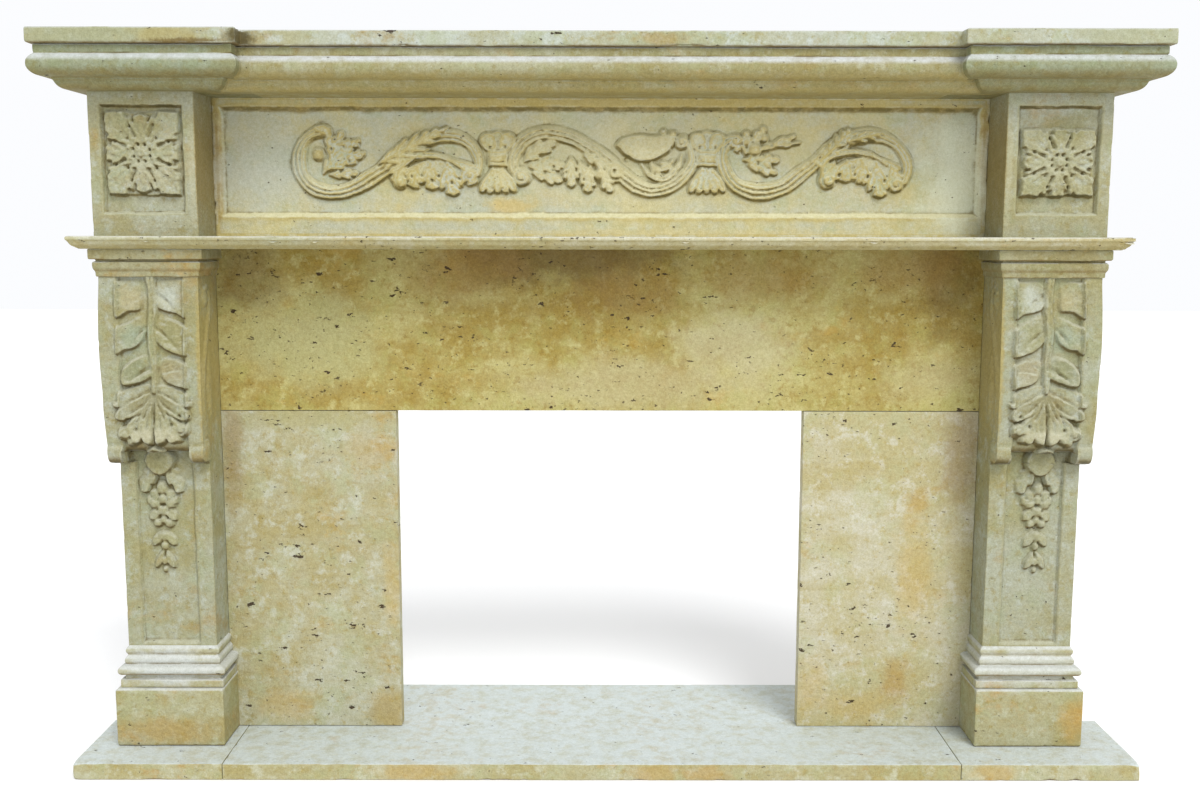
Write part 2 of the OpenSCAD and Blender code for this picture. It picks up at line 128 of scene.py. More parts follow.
class Relief:
    """Height of carving over a face, at points x across it and z up it."""

    def __init__(self, x, z):
        place = np.stack([x, 0 * x, z], -1)
        self.level = z
        self.x = x + HAND * (noise(place, 13, 3, 2) + noise(place, 41, 4))
        self.z = z + HAND * (noise(place, 13, 5, 2) + noise(place, 41, 6))
        self.h = np.zeros_like(x)

    def around(self, path, reach):
        """The part of the face that lies within reach of a path's box."""
        lo, hi = path.min(axis=0) - reach, path.max(axis=0) + reach
        return (self.x > lo[0]) & (self.x < hi[0]) & (self.z > lo[1]) & (self.z < hi[1])

    def near_path(self, path, reach):
        """The part of the face within reach of a path, and how far it is from each of its points."""
        near = self.around(path, reach)
        return near, np.hypot(self.x[near][:, None] - path[:, 0], self.z[near][:, None] - path[:, 1])

    def put(self, height, where, part=...):
        """Raises a part of the face to a height, where it isn't higher already."""
        self.h[part] = np.where(where, np.maximum(self.h[part], height), self.h[part])

    def leaf(self, x, z, turn, length, width, rise, bend=0.0, lobes=0, widest=1.3, lift=0.45, dish=0.3,
             tilt=0.0, blunt=0.6):
        """A leaf from its stalk at x, z, pointing turn degrees round from +X. It bends sideways,
        has lobes down each edge, lifts towards its tip, and may tilt up at one edge."""
        c, s = math.cos(math.radians(turn)), math.sin(math.radians(turn))
        dx, dz = self.x - x, self.z - z
        along = dx * c + dz * s
        u = np.clip(along / length, 0, 1)
        across = dz * c - dx * s - bend * u * u
        half = width / 2 * np.maximum(np.sin(math.pi * u ** widest), 0) ** blunt + 0.01
        flute = 1.0
        if lobes:
            sweep = u - 0.22 * np.abs(across) / (width / 2)
            beat = np.cos(math.pi * lobes * sweep)
            half = half * (1 - 0.32 * beat ** 4)
            flute = 1 - 0.42 * beat ** 2 * ease(np.abs(across) / (0.3 * width))
        side = np.clip(across / half, -1, 1)
        rim = np.minimum(half * (1 - np.abs(side)), np.minimum(along + EDGE / 2, length - along + EDGE / 3))
        body = (1 - lift) + lift * np.sin(math.pi * np.minimum(1, 0.1 + 0.62 * u))
        cross = 1 - dish * (1 - np.abs(side)) ** 1.5 + 0.24 * np.exp(-(across / 2.2) ** 2) * (1.1 - u)
        cross = cross * (1 - 0.5 * abs(tilt) * (1 - np.sign(tilt) * side))
        inside = (rim > -0.2) & (np.abs(across) < half)
        self.put(rise * body * cross * flute * ease(rim / EDGE + 0.1), inside)

    def plate(self, outline, rise, fall, low=0.35, point=(0, 0), flip=1, dish=0.2):
        """A flat leaf inside a smooth outline, which lifts from its ground towards fall degrees.
        The outline is laid off from a point, with its x reversed when flip is -1."""
        corners = [(point[0] + flip * x, point[1] + z) for x, z in outline]
        path = curve_through([*corners, corners[0]], 8 * len(corners))
        near = self.around(path, 1)
        here = np.stack([self.x[near], self.z[near]], axis=-1)[:, None]
        a, run = path[:-1], np.diff(path, axis=0)
        share = ((here - a) * run).sum(axis=-1) / np.maximum((run ** 2).sum(axis=-1), 1e-9)
        gap = np.linalg.norm(here - a - np.clip(share, 0, 1)[..., None] * run, axis=-1).min(axis=1)
        above = (a[:, 1] > here[..., 1]) != (path[1:, 1] > here[..., 1])
        rise_run = np.where(np.abs(run[:, 1]) < 1e-9, 1e-9, run[:, 1])
        cut = a[:, 0] + (here[..., 1] - a[:, 1]) * run[:, 0] / rise_run
        inside = (above & (here[..., 0] < cut)).sum(axis=1) % 2 == 1
        way = np.array([flip * math.cos(math.radians(fall)), math.sin(math.radians(fall))])
        reach = path @ way
        t = (here[:, 0] @ way - reach.min()) / (reach.max() - reach.min())
        wide = gap.max() if len(gap) else 1
        bowl = 1 - dish * np.clip(gap / (0.5 * wide + 1), 0, 1)
        height = rise * (low + (1 - low) * np.clip(t, 0, 1)) * bowl * ease(gap / EDGE + 0.15)
        self.put(height, inside, near)

    def groove(self, points, width, depth, flip=1, point=(0, 0)):
        """A cut along a curve, deepest half way."""
        path = curve_through([(point[0] + flip * x, point[1] + z) for x, z in points], 24)
        near, gap = self.near_path(path, width)
        share = gap.argmin(axis=1) / 24
        cut = depth * (0.35 + 0.65 * np.sin(math.pi * share)) * ease(1.4 - 1.4 * gap.min(axis=1) / width)
        self.h[near] = self.h[near] - np.where(self.h[near] > 2, cut, 0)

    def band(self, points, width, rise, grooves=(0.4,), start=0.55, end=0.55, steps=80, lean=0.0):
        """A moulded stem along a curve, grooved at shares of its half width to its left (+) and
        right (-). Its left edge stands higher when lean is positive."""
        path = curve_through(points, steps)
        near, gap = self.near_path(path, width / 2 + 2)
        nearest = gap.argmin(axis=1)
        t = nearest / steps
        way = np.gradient(path, axis=0)[nearest]
        left = way[:, 0] * (self.z[near] - path[nearest, 1]) - way[:, 1] * (self.x[near] - path[nearest, 0])
        fat = np.where(t < 0.5, start + (1 - start) * ease(t * 2.6), end + (1 - end) * ease((1 - t) * 2.6))
        fat = fat * (1 + 0.07 * np.sin(19 * t + points[0][0]) + 0.05 * np.sin(43 * t))
        half = width / 2 * fat
        v = gap.min(axis=1) / half
        signed = np.where(left > 0, v, -v)
        cross = np.sqrt(np.clip(1 - v ** 4, 0, 1))
        for g in grooves:
            cross = cross - 0.5 * np.exp(-((signed - g) / 0.17) ** 2)
        cross = cross * (1 + lean * (signed - abs(lean) / 2))
        height = rise * (0.75 + 0.25 * fat) * cross * ease(half * (1 - v) / EDGE + 0.1)
        self.put(height, v < 1, near)

    def ball(self, x, z, radius, rise, squash=1.0, curl=0):
        """A round boss, with a spiral groove cut in it when it is the end of a scroll."""
        dx, dz = self.x - x, (self.z - z) * squash
        r = np.hypot(dx, dz) / radius
        height = rise * np.sqrt(np.clip(1 - r ** 2, 0, 1)) ** 0.8
        if curl:
            phase = (curl * np.arctan2(dz, dx) / (2 * math.pi) + 1.7 * r) % 1
            height = height - 0.3 * rise * np.exp(-((phase - 0.5) / 0.14) ** 2) * (r > 0.22)
        self.put(height, r < 1)

    def drill(self, x, z, radius, depth):
        """A drilled hole, as a carver parts two leaves."""
        r = np.hypot(self.x - x, self.z - z) / radius
        self.h = self.h - depth * ease(1.3 * (1 - r))

    def drills(self, places, radius, depth):
        for x, z in places:
            self.drill(x, z, radius, depth)

    def leaves(self, rows, rise, **shape):
        """Leaves of one kind, each from its place, direction, length and width."""
        for x, z, turn, length, width in rows:
            self.leaf(x, z, turn, length, width, rise, **shape)

    def layer(self):
        """Sets the height so far aside, and starts from nothing for what is carved on it."""
        ground = self.h
        self.h = np.zeros_like(ground)
        return ground

    def tooling(self, *grains):
        """Marks of the chisel, from grains of height, size, seed and octaves."""
        place = np.stack([self.x, self.h, self.z], -1)
        return sum(height * noise(place, size, seed, octaves) for height, size, seed, octaves in grains)

    def sink(self, x0, x1, z0, z1, depth, bevel):
        """A panel let in to a face, with a bevelled edge."""
        inside = np.minimum(np.minimum(self.x - x0, x1 - self.x), np.minimum(self.z - z0, z1 - self.z))
        self.h = self.h - depth * np.clip(inside / bevel, 0, 1)

    def blur(self):
        self.h = soften(self.h, 1)


# ---------------------------------------------------------------- meshes
def closed_grid(p, closing=()):
    """Faces of a grid of points, rows from its foot up and columns from the left round to the
    right, closed at its top, foot and back. closing gives the plan points that it returns by."""
    rows, cols = p.shape[:2]
    verts = p.reshape(-1, 3)
    at = np.arange(rows * cols).reshape(rows, cols)
    quads = np.stack([at[:-1, :-1], at[:-1, 1:], at[1:, 1:], at[1:, :-1]], axis=-1).reshape(-1, 4)
    faces = quads.tolist()
    low, high = p[0, :, 2].min(), p[-1, :, 2].max()
    foot, head = at[0].tolist(), at[-1].tolist()
    if closing:
        extra = len(verts) + np.arange(2 * len(closing)).reshape(-1, 2)
        verts = np.concatenate([verts, [[x, y, z] for x, y in closing for z in (low, high)]])
        faces.append([*at[:, -1][::-1].tolist(), *extra[0].tolist()])
        for a, b in zip(extra[:-1], extra[1:]):
            faces.append([a[0], b[0], b[1], a[1]])
        faces.append([*at[:, 0].tolist(), extra[-1][1], extra[-1][0]])
        foot = foot + extra[:, 0].tolist()
        head = head + extra[:, 1].tolist()
    else:
        back = np.stack([at[:-1, -1], at[:-1, 0], at[1:, 0], at[1:, -1]], axis=-1)
        faces += back.tolist()
    faces += [foot[::-1], head]
    return verts, faces


def join(*parts):
    """One list of points and faces from several."""
    verts, faces = [], []
    count = 0
    for v, f in parts:
        faces += [[int(i) + count for i in face] for face in f]
        count += len(v)
        verts.append(v)
    return np.concatenate(verts), faces


def add(name, data):
    """Puts an object into the scene."""
    obj = bpy.data.objects.new(name, data)
    bpy.context.scene.collection.objects.link(obj)
    return obj


def read(items, key, width, kind=float):
    """Values of the vertices or edges of a mesh, a row for each."""
    values = np.zeros(len(items) * width, kind)
    items.foreach_get(key, values)
    return values.reshape(-1, width)


def piece(name, mesh_parts, nodes, material, crease=55, passes=7):
    """Makes the object for one stone, with how hollow its surface is at each point."""
    verts, faces = mesh_parts
    mesh = bpy.data.meshes.new(name)
    mesh.from_pydata((verts * MM).tolist(), [], [[int(i) for i in f] for f in faces])
    mesh.validate()
    mesh.shade_smooth()
    mesh.set_sharp_from_angle(angle=math.radians(crease))
    count = len(mesh.vertices)
    co = read(mesh.vertices, "co", 3) / MM
    edges = read(mesh.edges, "vertices", 2, np.int64)
    normals = read(mesh.vertices, "normal", 3, np.float32)
    ends = np.concatenate([edges[:, 0], edges[:, 1]])
    others = np.concatenate([edges[:, 1], edges[:, 0]])
    degree = np.maximum(np.bincount(ends, minlength=count), 1)
    even = co
    for _ in range(passes):
        near = np.stack([np.bincount(ends, even[others, a], count) for a in range(3)], axis=1)
        even = 0.5 * even + 0.5 * near / degree[:, None]
    hollow = ((even - co) * normals).sum(axis=1)
    layer = mesh.attributes.new("hollow", "FLOAT", "POINT")
    layer.data.foreach_set("value", np.clip(hollow, -4, 4).astype(np.float32))
    mesh.materials.append(material)
    obj = add(name, mesh)
    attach(obj, "root")
    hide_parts(*nodes)
    return obj


def tone_inside(obj, material, profile, foot, half_width, face_depth):
    """Gives a second tone to the faces of a moulding that lie between its two breaks: inside
    half_width, and no further out than a run of the profile in front of face_depth."""
    obj.data.materials.append(material)
    heights, reaches = [z for _, z in profile[:-1]], [x for x, _ in profile[:-1]]
    for face in obj.data.polygons:
        x, y, z = face.center / MM
        reach = np.interp(z - foot, heights, reaches)
        if abs(x) < half_width - reach + 1 and y > -face_depth - reach - 12:
            face.material_index = 1


def slab(lo, hi, pitch, wear, seed, chips=()):
    """A sawn block whose arrises are rounded off unevenly and chipped."""
    lo, hi = np.array(lo, float), np.array(hi, float)
    lines = [spaced(lo[a], hi[a], pitch, fine=(1.0, 2.2, 4.0, 6.5)) for a in range(3)]
    points, faces = [], []
    index = {}

    def corner(i, j, k):
        key = (i, j, k)
        if key not in index:
            index[key] = len(points)
            points.append([lines[0][i], lines[1][j], lines[2][k]])
        return index[key]

    sizes = [len(line) for line in lines]
    for axis in range(3):
        a, b = (axis + 1) % 3, (axis + 2) % 3
        for end in (0, sizes[axis] - 1):
            for i in range(sizes[a] - 1):
                for j in range(sizes[b] - 1):
                    ring = []
                    for di, dj in ((0, 0), (1, 0), (1, 1), (0, 1)):
                        key = [0, 0, 0]
                        key[axis] = end
                        key[a] = i + di
                        key[b] = j + dj
                        ring.append(corner(*key))
                    faces.append(ring if end else ring[::-1])
    p = np.array(points)
    rough = noise(p, 34, seed, 3)
    radius = wear * (0.75 + 0.6 * rough) + 2.2 * wear * ease((noise(p, 23, seed + 5) - 0.42) * 4)
    for x, y, z, reach, depth in chips:
        gap = np.linalg.norm(p - [x, y, z], axis=1)
        radius = radius + depth * ease(1 - gap / reach)
    radius = np.clip(radius, 0.3, 0.45 * (hi - lo).min())[:, None]
    core = np.clip(p, lo + radius, hi - radius)
    away = p - core
    far = np.maximum(np.linalg.norm(away, axis=1), 1e-6)[:, None]
    sunk = 0.3 * (1 + noise(p, 60, seed + 9, 3))[:, None]
    return core + away / far * (radius - sunk), faces


def outward(path):
    """Direction at each point of a plan path in which a moulding's projection is laid off."""
    step = np.diff(path, axis=0)
    step = step / np.linalg.norm(step, axis=1)[:, None]
    normal = np.stack([step[:, 1], -step[:, 0]], axis=1)
    before = np.concatenate([normal[:1], normal])
    after = np.concatenate([normal, normal[-1:]])
    return (before + after) / (1 + (before * after).sum(axis=1))[:, None]


def fine_profile(profile, pitch):
    """A profile with points about pitch apart, its own corners kept."""
    out = [profile[0]]
    for a, b in zip(profile[:-1], profile[1:]):
        count = max(1, round(math.dist(a, b) / pitch))
        out += [tuple(np.array(a) + (np.array(b) - np.array(a)) * k / count) for k in range(1, count + 1)]
    return np.array(out)


def moulding(profile, path, z, closing, pitch, seed, wear=0.6, chips=(), step=2.6):
    """A moulded stone: a profile of projection and height, mitred round a path in plan."""
    profile = fine_profile(profile, step)
    path = np.array(path, float)
    corners = path[:, None, :] + outward(path)[:, None, :] * profile[None, :, 0, None]
    columns = [corners[0]]
    for a, b in zip(corners[:-1], corners[1:]):
        length = np.linalg.norm(b - a, axis=1).max()
        shares = spaced(0, length, pitch, fine=(0.9, 2.2))[1:] / max(length, 1)
        columns += [a + (b - a) * min(k, 1) for k in shares]
    plan = np.stack(columns, axis=1)
    heights = np.broadcast_to((z + profile[:, 1])[:, None, None], plan.shape[:2] + (1,))
    p = np.concatenate([plan, heights], axis=2)
    even = soften(p, 2)
    even[:, [0, -1]] = p[:, [0, -1]]
    amount = np.clip(wear * (1 + noise(p, 38, seed, 3)), 0.12, 1.3)
    amount = amount + wear * 1.3 * ease((noise(p, 21, seed + 3, 2) - 0.45) * 4)
    for cx, cy, cz, reach, depth in chips:
        amount = amount + depth * ease(1 - np.linalg.norm(p - [cx, cy, cz], axis=2) / reach)
    worn = p + np.clip(amount, 0, 4)[..., None] * (even - p)
    bump = noise(p, 17, seed + 7, 2)[..., None] * 0.25
    inward = np.zeros_like(p)
    inward[..., 1] = 1
    worn = worn + inward * (0.25 + bump) * (p[..., 1:2] < -1)
    worn[..., 2] = np.clip(worn[..., 2], z + profile[:, 1].min(), z + profile[:, 1].max())
    return closed_grid(worn, closing)


def arc(x, z, radius, start, end, steps=8):
    """Points of an arc in a profile, from start to end in degrees."""
    turns = np.radians(np.linspace(start, end, steps + 1))
    return [(x + radius * math.cos(t), z + radius * math.sin(t)) for t in turns]


def standing(x0, x1, depth, zs, columns, sides, carve, seed, wear, side_carve=None):
    """A block that stands from its foot up: its face is carved by carve(relief), its two sides
    run back to the wall. x0, x1 and depth give its edges at each height."""
    zs = np.asarray(zs, float)
    left, right, deep = (np.broadcast_to(f(zs) if callable(f) else f, zs.shape) for f in (x0, x1, depth))
    share = np.asarray(columns, float)
    x = left[:, None] + (right - left)[:, None] * share
    z = np.broadcast_to(zs[:, None], x.shape)
    relief = Relief(x, z)
    carve(relief)
    face = np.stack([x, -(deep[:, None] + relief.h), z], axis=-1)
    run = np.asarray(sides, float)
    walls = []
    for edge, end, sign in ((left, face[:, 0], -1), (right, face[:, -1], 1)):
        y = end[:, 1][:, None] * run
        level = np.broadcast_to(zs[:, None], y.shape)
        out = Relief(-y, level)
        if side_carve:
            side_carve(out)
        wall_x = edge[:, None] + sign * out.h * np.clip((1 - run) * 9, 0, 1)
        walls.append(np.stack([wall_x, y, level], axis=-1))
    p = np.concatenate([walls[0][:, :-1], face, walls[1][:, :-1][:, ::-1]], axis=1)
    corners = [len(run) - 1, len(run) - 2 + len(share)]
    column = np.arange(p.shape[1])
    near = np.min([np.abs(column - c) for c in corners], axis=0)
    amount = wear * (0.7 + 0.7 * noise(p, 30, seed, 3)) * (near < 4)
    amount = amount + 1.5 * ease((noise(p, 22, seed + 4) - 0.35) * 4) * (near < 4)
    p = p + np.clip(amount, 0, 2.5)[..., None] * (soften(p, 2) - p)
    dimple = 0.35 * (1 + noise(p, 15, seed + 8, 3))
    p[..., 1] = p[..., 1] + dimple * (p[..., 1] < -1)
    return closed_grid(p)


# ---------------------------------------------------------------- stone
def linear(r, g, b, light=1.0):
    """Scene colour for a stone seen as r, g, b out of 255, under the given amount of light."""
    def channel(v):
        v = v / 255
        return (v / 12.92 if v <= 0.04045 else ((v + 0.055) / 1.055) ** 2.4) / light
    return (channel(r), channel(g), channel(b), 1.0)


LIGHT = 1.5  # light that falls on an upright face in the open


class Stone:
    """A travertine material, built up from noise in the frame's own coordinates."""

    def __init__(self, name, seed):
        self.material = bpy.data.materials.new(name)
        self.material.use_nodes = True
        self.tree = self.material.node_tree
        self.tree.nodes.clear()
        self.seed = seed
        self.here = self.node("TexCoord").outputs["Object"]

    def node(self, kind, inputs=None, **settings):
        """A shader node with its settings, each input linked to a socket or given a value."""
        made = self.tree.nodes.new("ShaderNode" + kind)
        for key, value in settings.items():
            setattr(made, key, value)
        for key, source in (inputs or {}).items():
            if hasattr(source, "links"):
                self.tree.links.new(source, made.inputs[key])
            else:
                made.inputs[key].default_value = source
        return made

    def mapped(self, location, scale):
        """The frame's coordinates, scaled and moved."""
        inputs = {"Vector": self.here, "Location": location, "Scale": scale}
        return self.node("Mapping", inputs).outputs["Vector"]

    def cloud(self, scale, detail, rough, stretch=(1, 1, 1), shift=0):
        seed = self.seed + shift
        place = self.mapped((seed * 3.71, seed * 1.93, seed * 2.57), stretch)
        inputs = {"Vector": place, "Scale": scale, "Detail": detail, "Roughness": rough}
        return self.node("TexNoise", inputs).outputs["Fac"]

    def step(self, value, lo, hi, low=0.0, high=1.0):
        inputs = {"Value": value, "From Min": lo, "From Max": hi, "To Min": low, "To Max": high}
        return self.node("MapRange", inputs, interpolation_type="SMOOTHSTEP").outputs["Result"]

    def math(self, operation, a, b):
        return self.node("Math", {0: a, 1: b}, operation=operation).outputs[0]

    def mix(self, share, a, b, blend="MIX"):
        """A mix of colours; sockets 6, 7 and 2 are the colour inputs and output of the node."""
        return self.node("Mix", {0: share, 6: a, 7: b}, data_type="RGBA", blend_type=blend).outputs[2]

    def over(self, mask, share, colour, tint):
        """A tint over a colour, where the mask shows it and up to a share."""
        return self.mix(self.math("MULTIPLY", mask, share), colour, tint)

    def patches(self, scale, detail, rough, lo, hi, least=0.0, **more):
        """Ragged patches of a cloud, from its lo to its hi value, with at least a share between."""
        return self.step(self.cloud(scale, detail, rough, **more), lo, hi, least, 1)

    def spot(self, x, z, wide, high, shift):
        """A soft patch about a place on the front, with a ragged edge."""
        place = self.mapped((-x / wide, 0, -z / high), (1 / (wide * MM), 0, 1 / (high * MM)))
        length = self.node("VectorMath", {0: place}, operation="LENGTH")
        cloud = self.cloud(1.1 / (min(wide, high, 70) * MM), 6, 0.65, shift=shift)
        reach = self.math("ADD", length.outputs["Value"], self.math("MULTIPLY", cloud, 1.5))
        return self.step(reach, 1.75, 1.0)

    def finish(self, colour, roughness, bumps):
        """Ends the material. Each bump is a height, its strength and its depth in metres."""
        normal = {}
        for height, strength, depth in bumps:
            bump = self.node("Bump", {"Height": height, "Strength": strength, "Distance": depth, **normal})
            normal = {"Normal": bump.outputs["Normal"]}
        shader = self.node("BsdfPrincipled", {"Base Color": colour, "Roughness": roughness, "IOR": 1.45,
                                              **normal})
        self.node("OutputMaterial", {"Surface": shader.outputs["BSDF"]})
        return self.material


def travertine(name, seed, pale, warm, stain=(190, 146, 58), stained=0.5, pitted=0.5, top=(214, 219, 212),
               under=(146, 118, 58), marks=(), bands=0.35, carved=0.0, carving=(186, 176, 126), light=LIGHT,
               mottled=0.6):
    """Pale and warm clouds, bedding, ochre stains, clustered pits, painted shade and dirt in hollows and
    under downward faces, bleaching and painted highlight on tops.
    Colours are given as seen, and light is what falls on the stone."""
    s = Stone(name, seed)

    def seen(tint, r=1.0, g=1.0, b=1.0):
        return linear(*(min(255, v * k) for v, k in zip(tint, (r, g, b))), light)

    # Clouds of the stone itself, from the largest to the smallest.
    colour = s.mix(s.patches(5, 6, 0.66, 0.40, 0.60), seen(pale), seen(warm))
    bedding = s.patches(7, 5, 0.6, 0.46, 0.66, stretch=(0.25, 0.6, 2.6), shift=2)
    colour = s.over(bedding, bands, colour, seen(warm, 0.95, 0.91, 0.76))
    colour = s.over(s.patches(17, 6, 0.66, 0.46, 0.64, shift=21), 0.5, colour, seen(pale, 0.93, 0.96, 0.86))
    mottle = s.patches(38, 6, 0.7, 0.50, 0.66, shift=3)
    colour = s.over(mottle, mottled, colour, seen(pale, 1.08, 1.10, 1.18))
    fleck = s.patches(62, 7, 0.72, 0.52, 0.68, shift=4)
    colour = s.over(fleck, mottled, colour, seen(warm, 0.92, 0.86, 0.60))
    ochre = s.patches(9, 7, 0.7, 0.55, 0.70, stretch=(1, 1, 1.4), shift=5)
    colour = s.over(ochre, stained, colour, seen(stain))
    hollow = s.node("Attribute", attribute_name="hollow").outputs["Fac"]
    if carved:
        colour = s.mix(s.step(hollow, 0.2, -0.6, 0, carved), colour, seen(carving))
    for k, (x, z, wide, high, tint, share) in enumerate(marks):
        colour = s.over(s.spot(x, z, wide, high, 20 + k), share, colour, seen(tint))

    # Bleaching and painted highlight on what faces up; painted shade and dirt on what faces down and in the
    # hollows.
    facing = s.node("NewGeometry").outputs["Normal"]
    up = s.node("SeparateXYZ", {"Vector": facing}).outputs["Z"]
    ragged = s.cloud(40, 5, 0.65, shift=8)
    # Painted highlight: upward faces are tinted towards the pale top colour, as if lit from above; it also
    # stands for bleaching.
    colour = s.over(s.step(up, 0.15, 0.65), s.step(ragged, 0.3, 0.6, 0.55, 1), colour,
                    seen(top, 0.97, 0.97, 0.97))
    # Painted shade: downward faces are tinted towards the darker under colour, as if out of the light; it
    # also stands for dirt.
    colour = s.over(s.step(up, -0.15, -0.85), s.step(ragged, 0.3, 0.65, 0.5, 0.95), colour, seen(under))
    # Painted shadow: on carved stones, steep downward-facing edges are darkened to a dark olive, as the
    # shadow under the carving.
    if carved:
        undercut_shadow = s.math("MULTIPLY", s.step(up, -0.35, -0.80),
                          s.patches(50, 5, 0.66, 0.32, 0.58, 0.4, shift=23))
        colour = s.over(undercut_shadow, 0.85, colour, seen((84, 76, 34)))
    # Painted shade and dirt: hollows and crevices are darkened towards brown, standing for the shade that
    # falls in them as well as for dirt.
    hollow_shade_and_dirt = s.math("MULTIPLY", s.step(hollow, 0.25, 1.6), s.patches(45, 5, 0.66, 0.36, 0.6, 0.2, shift=9))
    shade_and_grime, share = ((112, 98, 46), 0.8) if carved else ((142, 118, 56), 0.75)
    colour = s.over(hollow_shade_and_dirt, share, colour, seen(shade_and_grime))
    # Painted highlight and wear: ridges and raised edges are lightened towards a pale tint.
    worn = s.math("MULTIPLY", s.step(hollow, -0.35, -1.6), s.patches(48, 5, 0.6, 0.4, 0.62, shift=10))
    colour = s.over(worn, 0.4, colour, seen(pale, 1.1, 1.11, 1.16))

    # Pits, which lie closer together in some places than in others.
    where = s.step(s.cloud(7, 4, 0.6, shift=11), 0.44, 0.62, -0.03, 0)
    big = s.cloud(40, 4, 0.66, stretch=(0.8, 1, 1.5), shift=12)
    pit = s.step(s.math("ADD", big, where), 0.715 - 0.065 * pitted, 0.735 - 0.065 * pitted)
    fine = s.cloud(105, 3, 0.6, stretch=(0.8, 1, 1.5), shift=13)
    small = s.step(s.math("ADD", fine, where), 0.72 - 0.06 * pitted, 0.74 - 0.06 * pitted)
    pits = s.math("MAXIMUM", pit, s.math("MULTIPLY", small, 0.85))
    colour = s.over(pits, 0.95, colour, seen((58, 38, 6)))

    # Fine grain, and the shape of the surface.
    grain = s.patches(150, 6, 0.8, 0.38, 0.62, shift=22)
    colour = s.mix(0.2, colour, s.mix(grain, (0.22, 0.20, 0.12, 1), (0.84, 0.86, 0.88, 1)), "SOFT_LIGHT")
    speck = s.cloud(420, 3, 0.7, shift=14)
    specks = s.mix(s.step(speck, 0.3, 0.7), (0.25, 0.22, 0.16, 1), (1, 1, 1, 1))
    colour = s.mix(0.2, colour, specks, "SOFT_LIGHT")
    roughness = s.step(s.cloud(26, 5, 0.6, shift=15), 0.3, 0.7, 0.6, 0.88)
    sunk = s.math("SUBTRACT", 1.0, pits)
    eroded = s.cloud(85, 7, 0.72, shift=17)
    return s.finish(colour, roughness, [(s.cloud(30, 6, 0.6, shift=16), 0.45, 0.005), (eroded, 0.6, 0.004),
                                        (speck, 0.25, 0.0008), (sunk, 0.8, 0.002)])


# ---------------------------------------------------------------- carving of the legs
LEG_IN, LEG_OUT, SHAFT_OUT = 700.0, 873.0, 861.0
LEG_FOOT, LEG_TOP = node_box("leg_left")[0][2], node_box("capital_left")[0][2]
CONSOLE_H = 310
CONSOLE_Z = LEG_TOP - CONSOLE_H
VOLUTE_R = 19.0
SHAFT_D, CONSOLE_D = 107.0, 136.0
VOLUTE_D = CONSOLE_D + 5 - VOLUTE_R  # depth of the volutes' centre
FIELD = (727.0, 836.0)  # inner and outer edge of the leg's sunken field
SCROLL_R = VOLUTE_R + 3
SCROLL_MID = CONSOLE_Z + 1
SCROLL_FOOT = SCROLL_MID - SCROLL_R
MIDDLE = 785.0  # centre line of the carved drop


def leg_depth(z):
    """Depth of the leg's face: a shaft, a volute, then a swelling console up to the capital."""
    s = np.clip((z - CONSOLE_Z) / CONSOLE_H, 0, 1)
    face = CONSOLE_D + 7 * np.sin(math.pi * s) * (1 - s) + 5 * (1 - s) ** 2
    drop = np.clip(CONSOLE_Z + VOLUTE_R - z, 0, VOLUTE_R)
    rolled = VOLUTE_D + np.sqrt(VOLUTE_R ** 2 - drop ** 2)
    face = np.where(z < CONSOLE_Z + VOLUTE_R, rolled, face)
    return np.where(z < CONSOLE_Z, SHAFT_D, face)


def leg_field(r, out):
    """Sunken field between the two borders, with a soft slope down to it."""
    x = r.x * out
    edge = np.where(r.level > SCROLL_FOOT, FIELD[1] + 8, FIELD[1] - 1)
    inner = np.where(r.level > SCROLL_FOOT, FIELD[0] - 2, FIELD[0] + 2)
    inside = np.minimum(x - inner, edge - x)
    inside = np.minimum(inside, r.level - LEG_FOOT - 4)
    return inside, -6.5 * ease(inside / 5)


def hanging_scrolls(r, inside):
    """The two borders roll over below the console, one on each side of the carving."""
    drop = np.clip(np.abs(r.level - SCROLL_MID) / SCROLL_R, 0, 1)
    rolled = VOLUTE_D + SCROLL_R * np.sqrt(1 - drop ** 2)
    return np.where((inside < 1) & (drop < 1), np.maximum(rolled - leg_depth(r.level), 0), 0)


# Hanging leaves of the console, from the stalk's centre line and the leg's top, in pairs:
# the one on the outer side of the leg and the one on its inner side.
CONSOLE_LEAVES = (
    (((-61, -8), (-38, -6), (-16, -4), (-14, -32), (-17, -57), (-27, -61), (-40, -62), (-61, -70)),
     ((13, -6), (36, -5), (62, -9), (62, -70), (44, -65), (24, -61), (12, -53), (9, -30))),
    (((-12, -64), (-38, -78), (-62, -92), (-61, -134), (-46, -128), (-31, -125), (-15, -112), (-8, -88)),
     ((9, -66), (30, -72), (62, -92), (63, -137), (38, -134), (20, -125), (8, -110), (6, -86))),
    (((5, -136), (-19, -138), (-42, -149), (-54, -165), (-52, -190), (-26, -187), (-5, -178), (7, -160)),
     ((9, -146), (30, -142), (58, -151), (69, -170), (69, -194), (44, -193), (23, -184), (12, -166))))
FINGERS = (
    ((0, -188), (26, -190), (52, -198), (68, -214), (66, -228), (44, -226), (20, -216)),
    ((0, -200), (30, -216), (56, -228), (66, -244), (54, -253), (34, -246), (12, -232)),
    ((0, -212), (22, -238), (40, -250), (50, -266), (36, -276), (20, -262), (6, -240)))
TIPS = (((2, -216), (16, -244), (24, -268), (20, -290), (6, -297), (0, -276)),
        ((20, -236), (34, -256), (42, -276), (36, -292), (24, -290), (18, -268)))


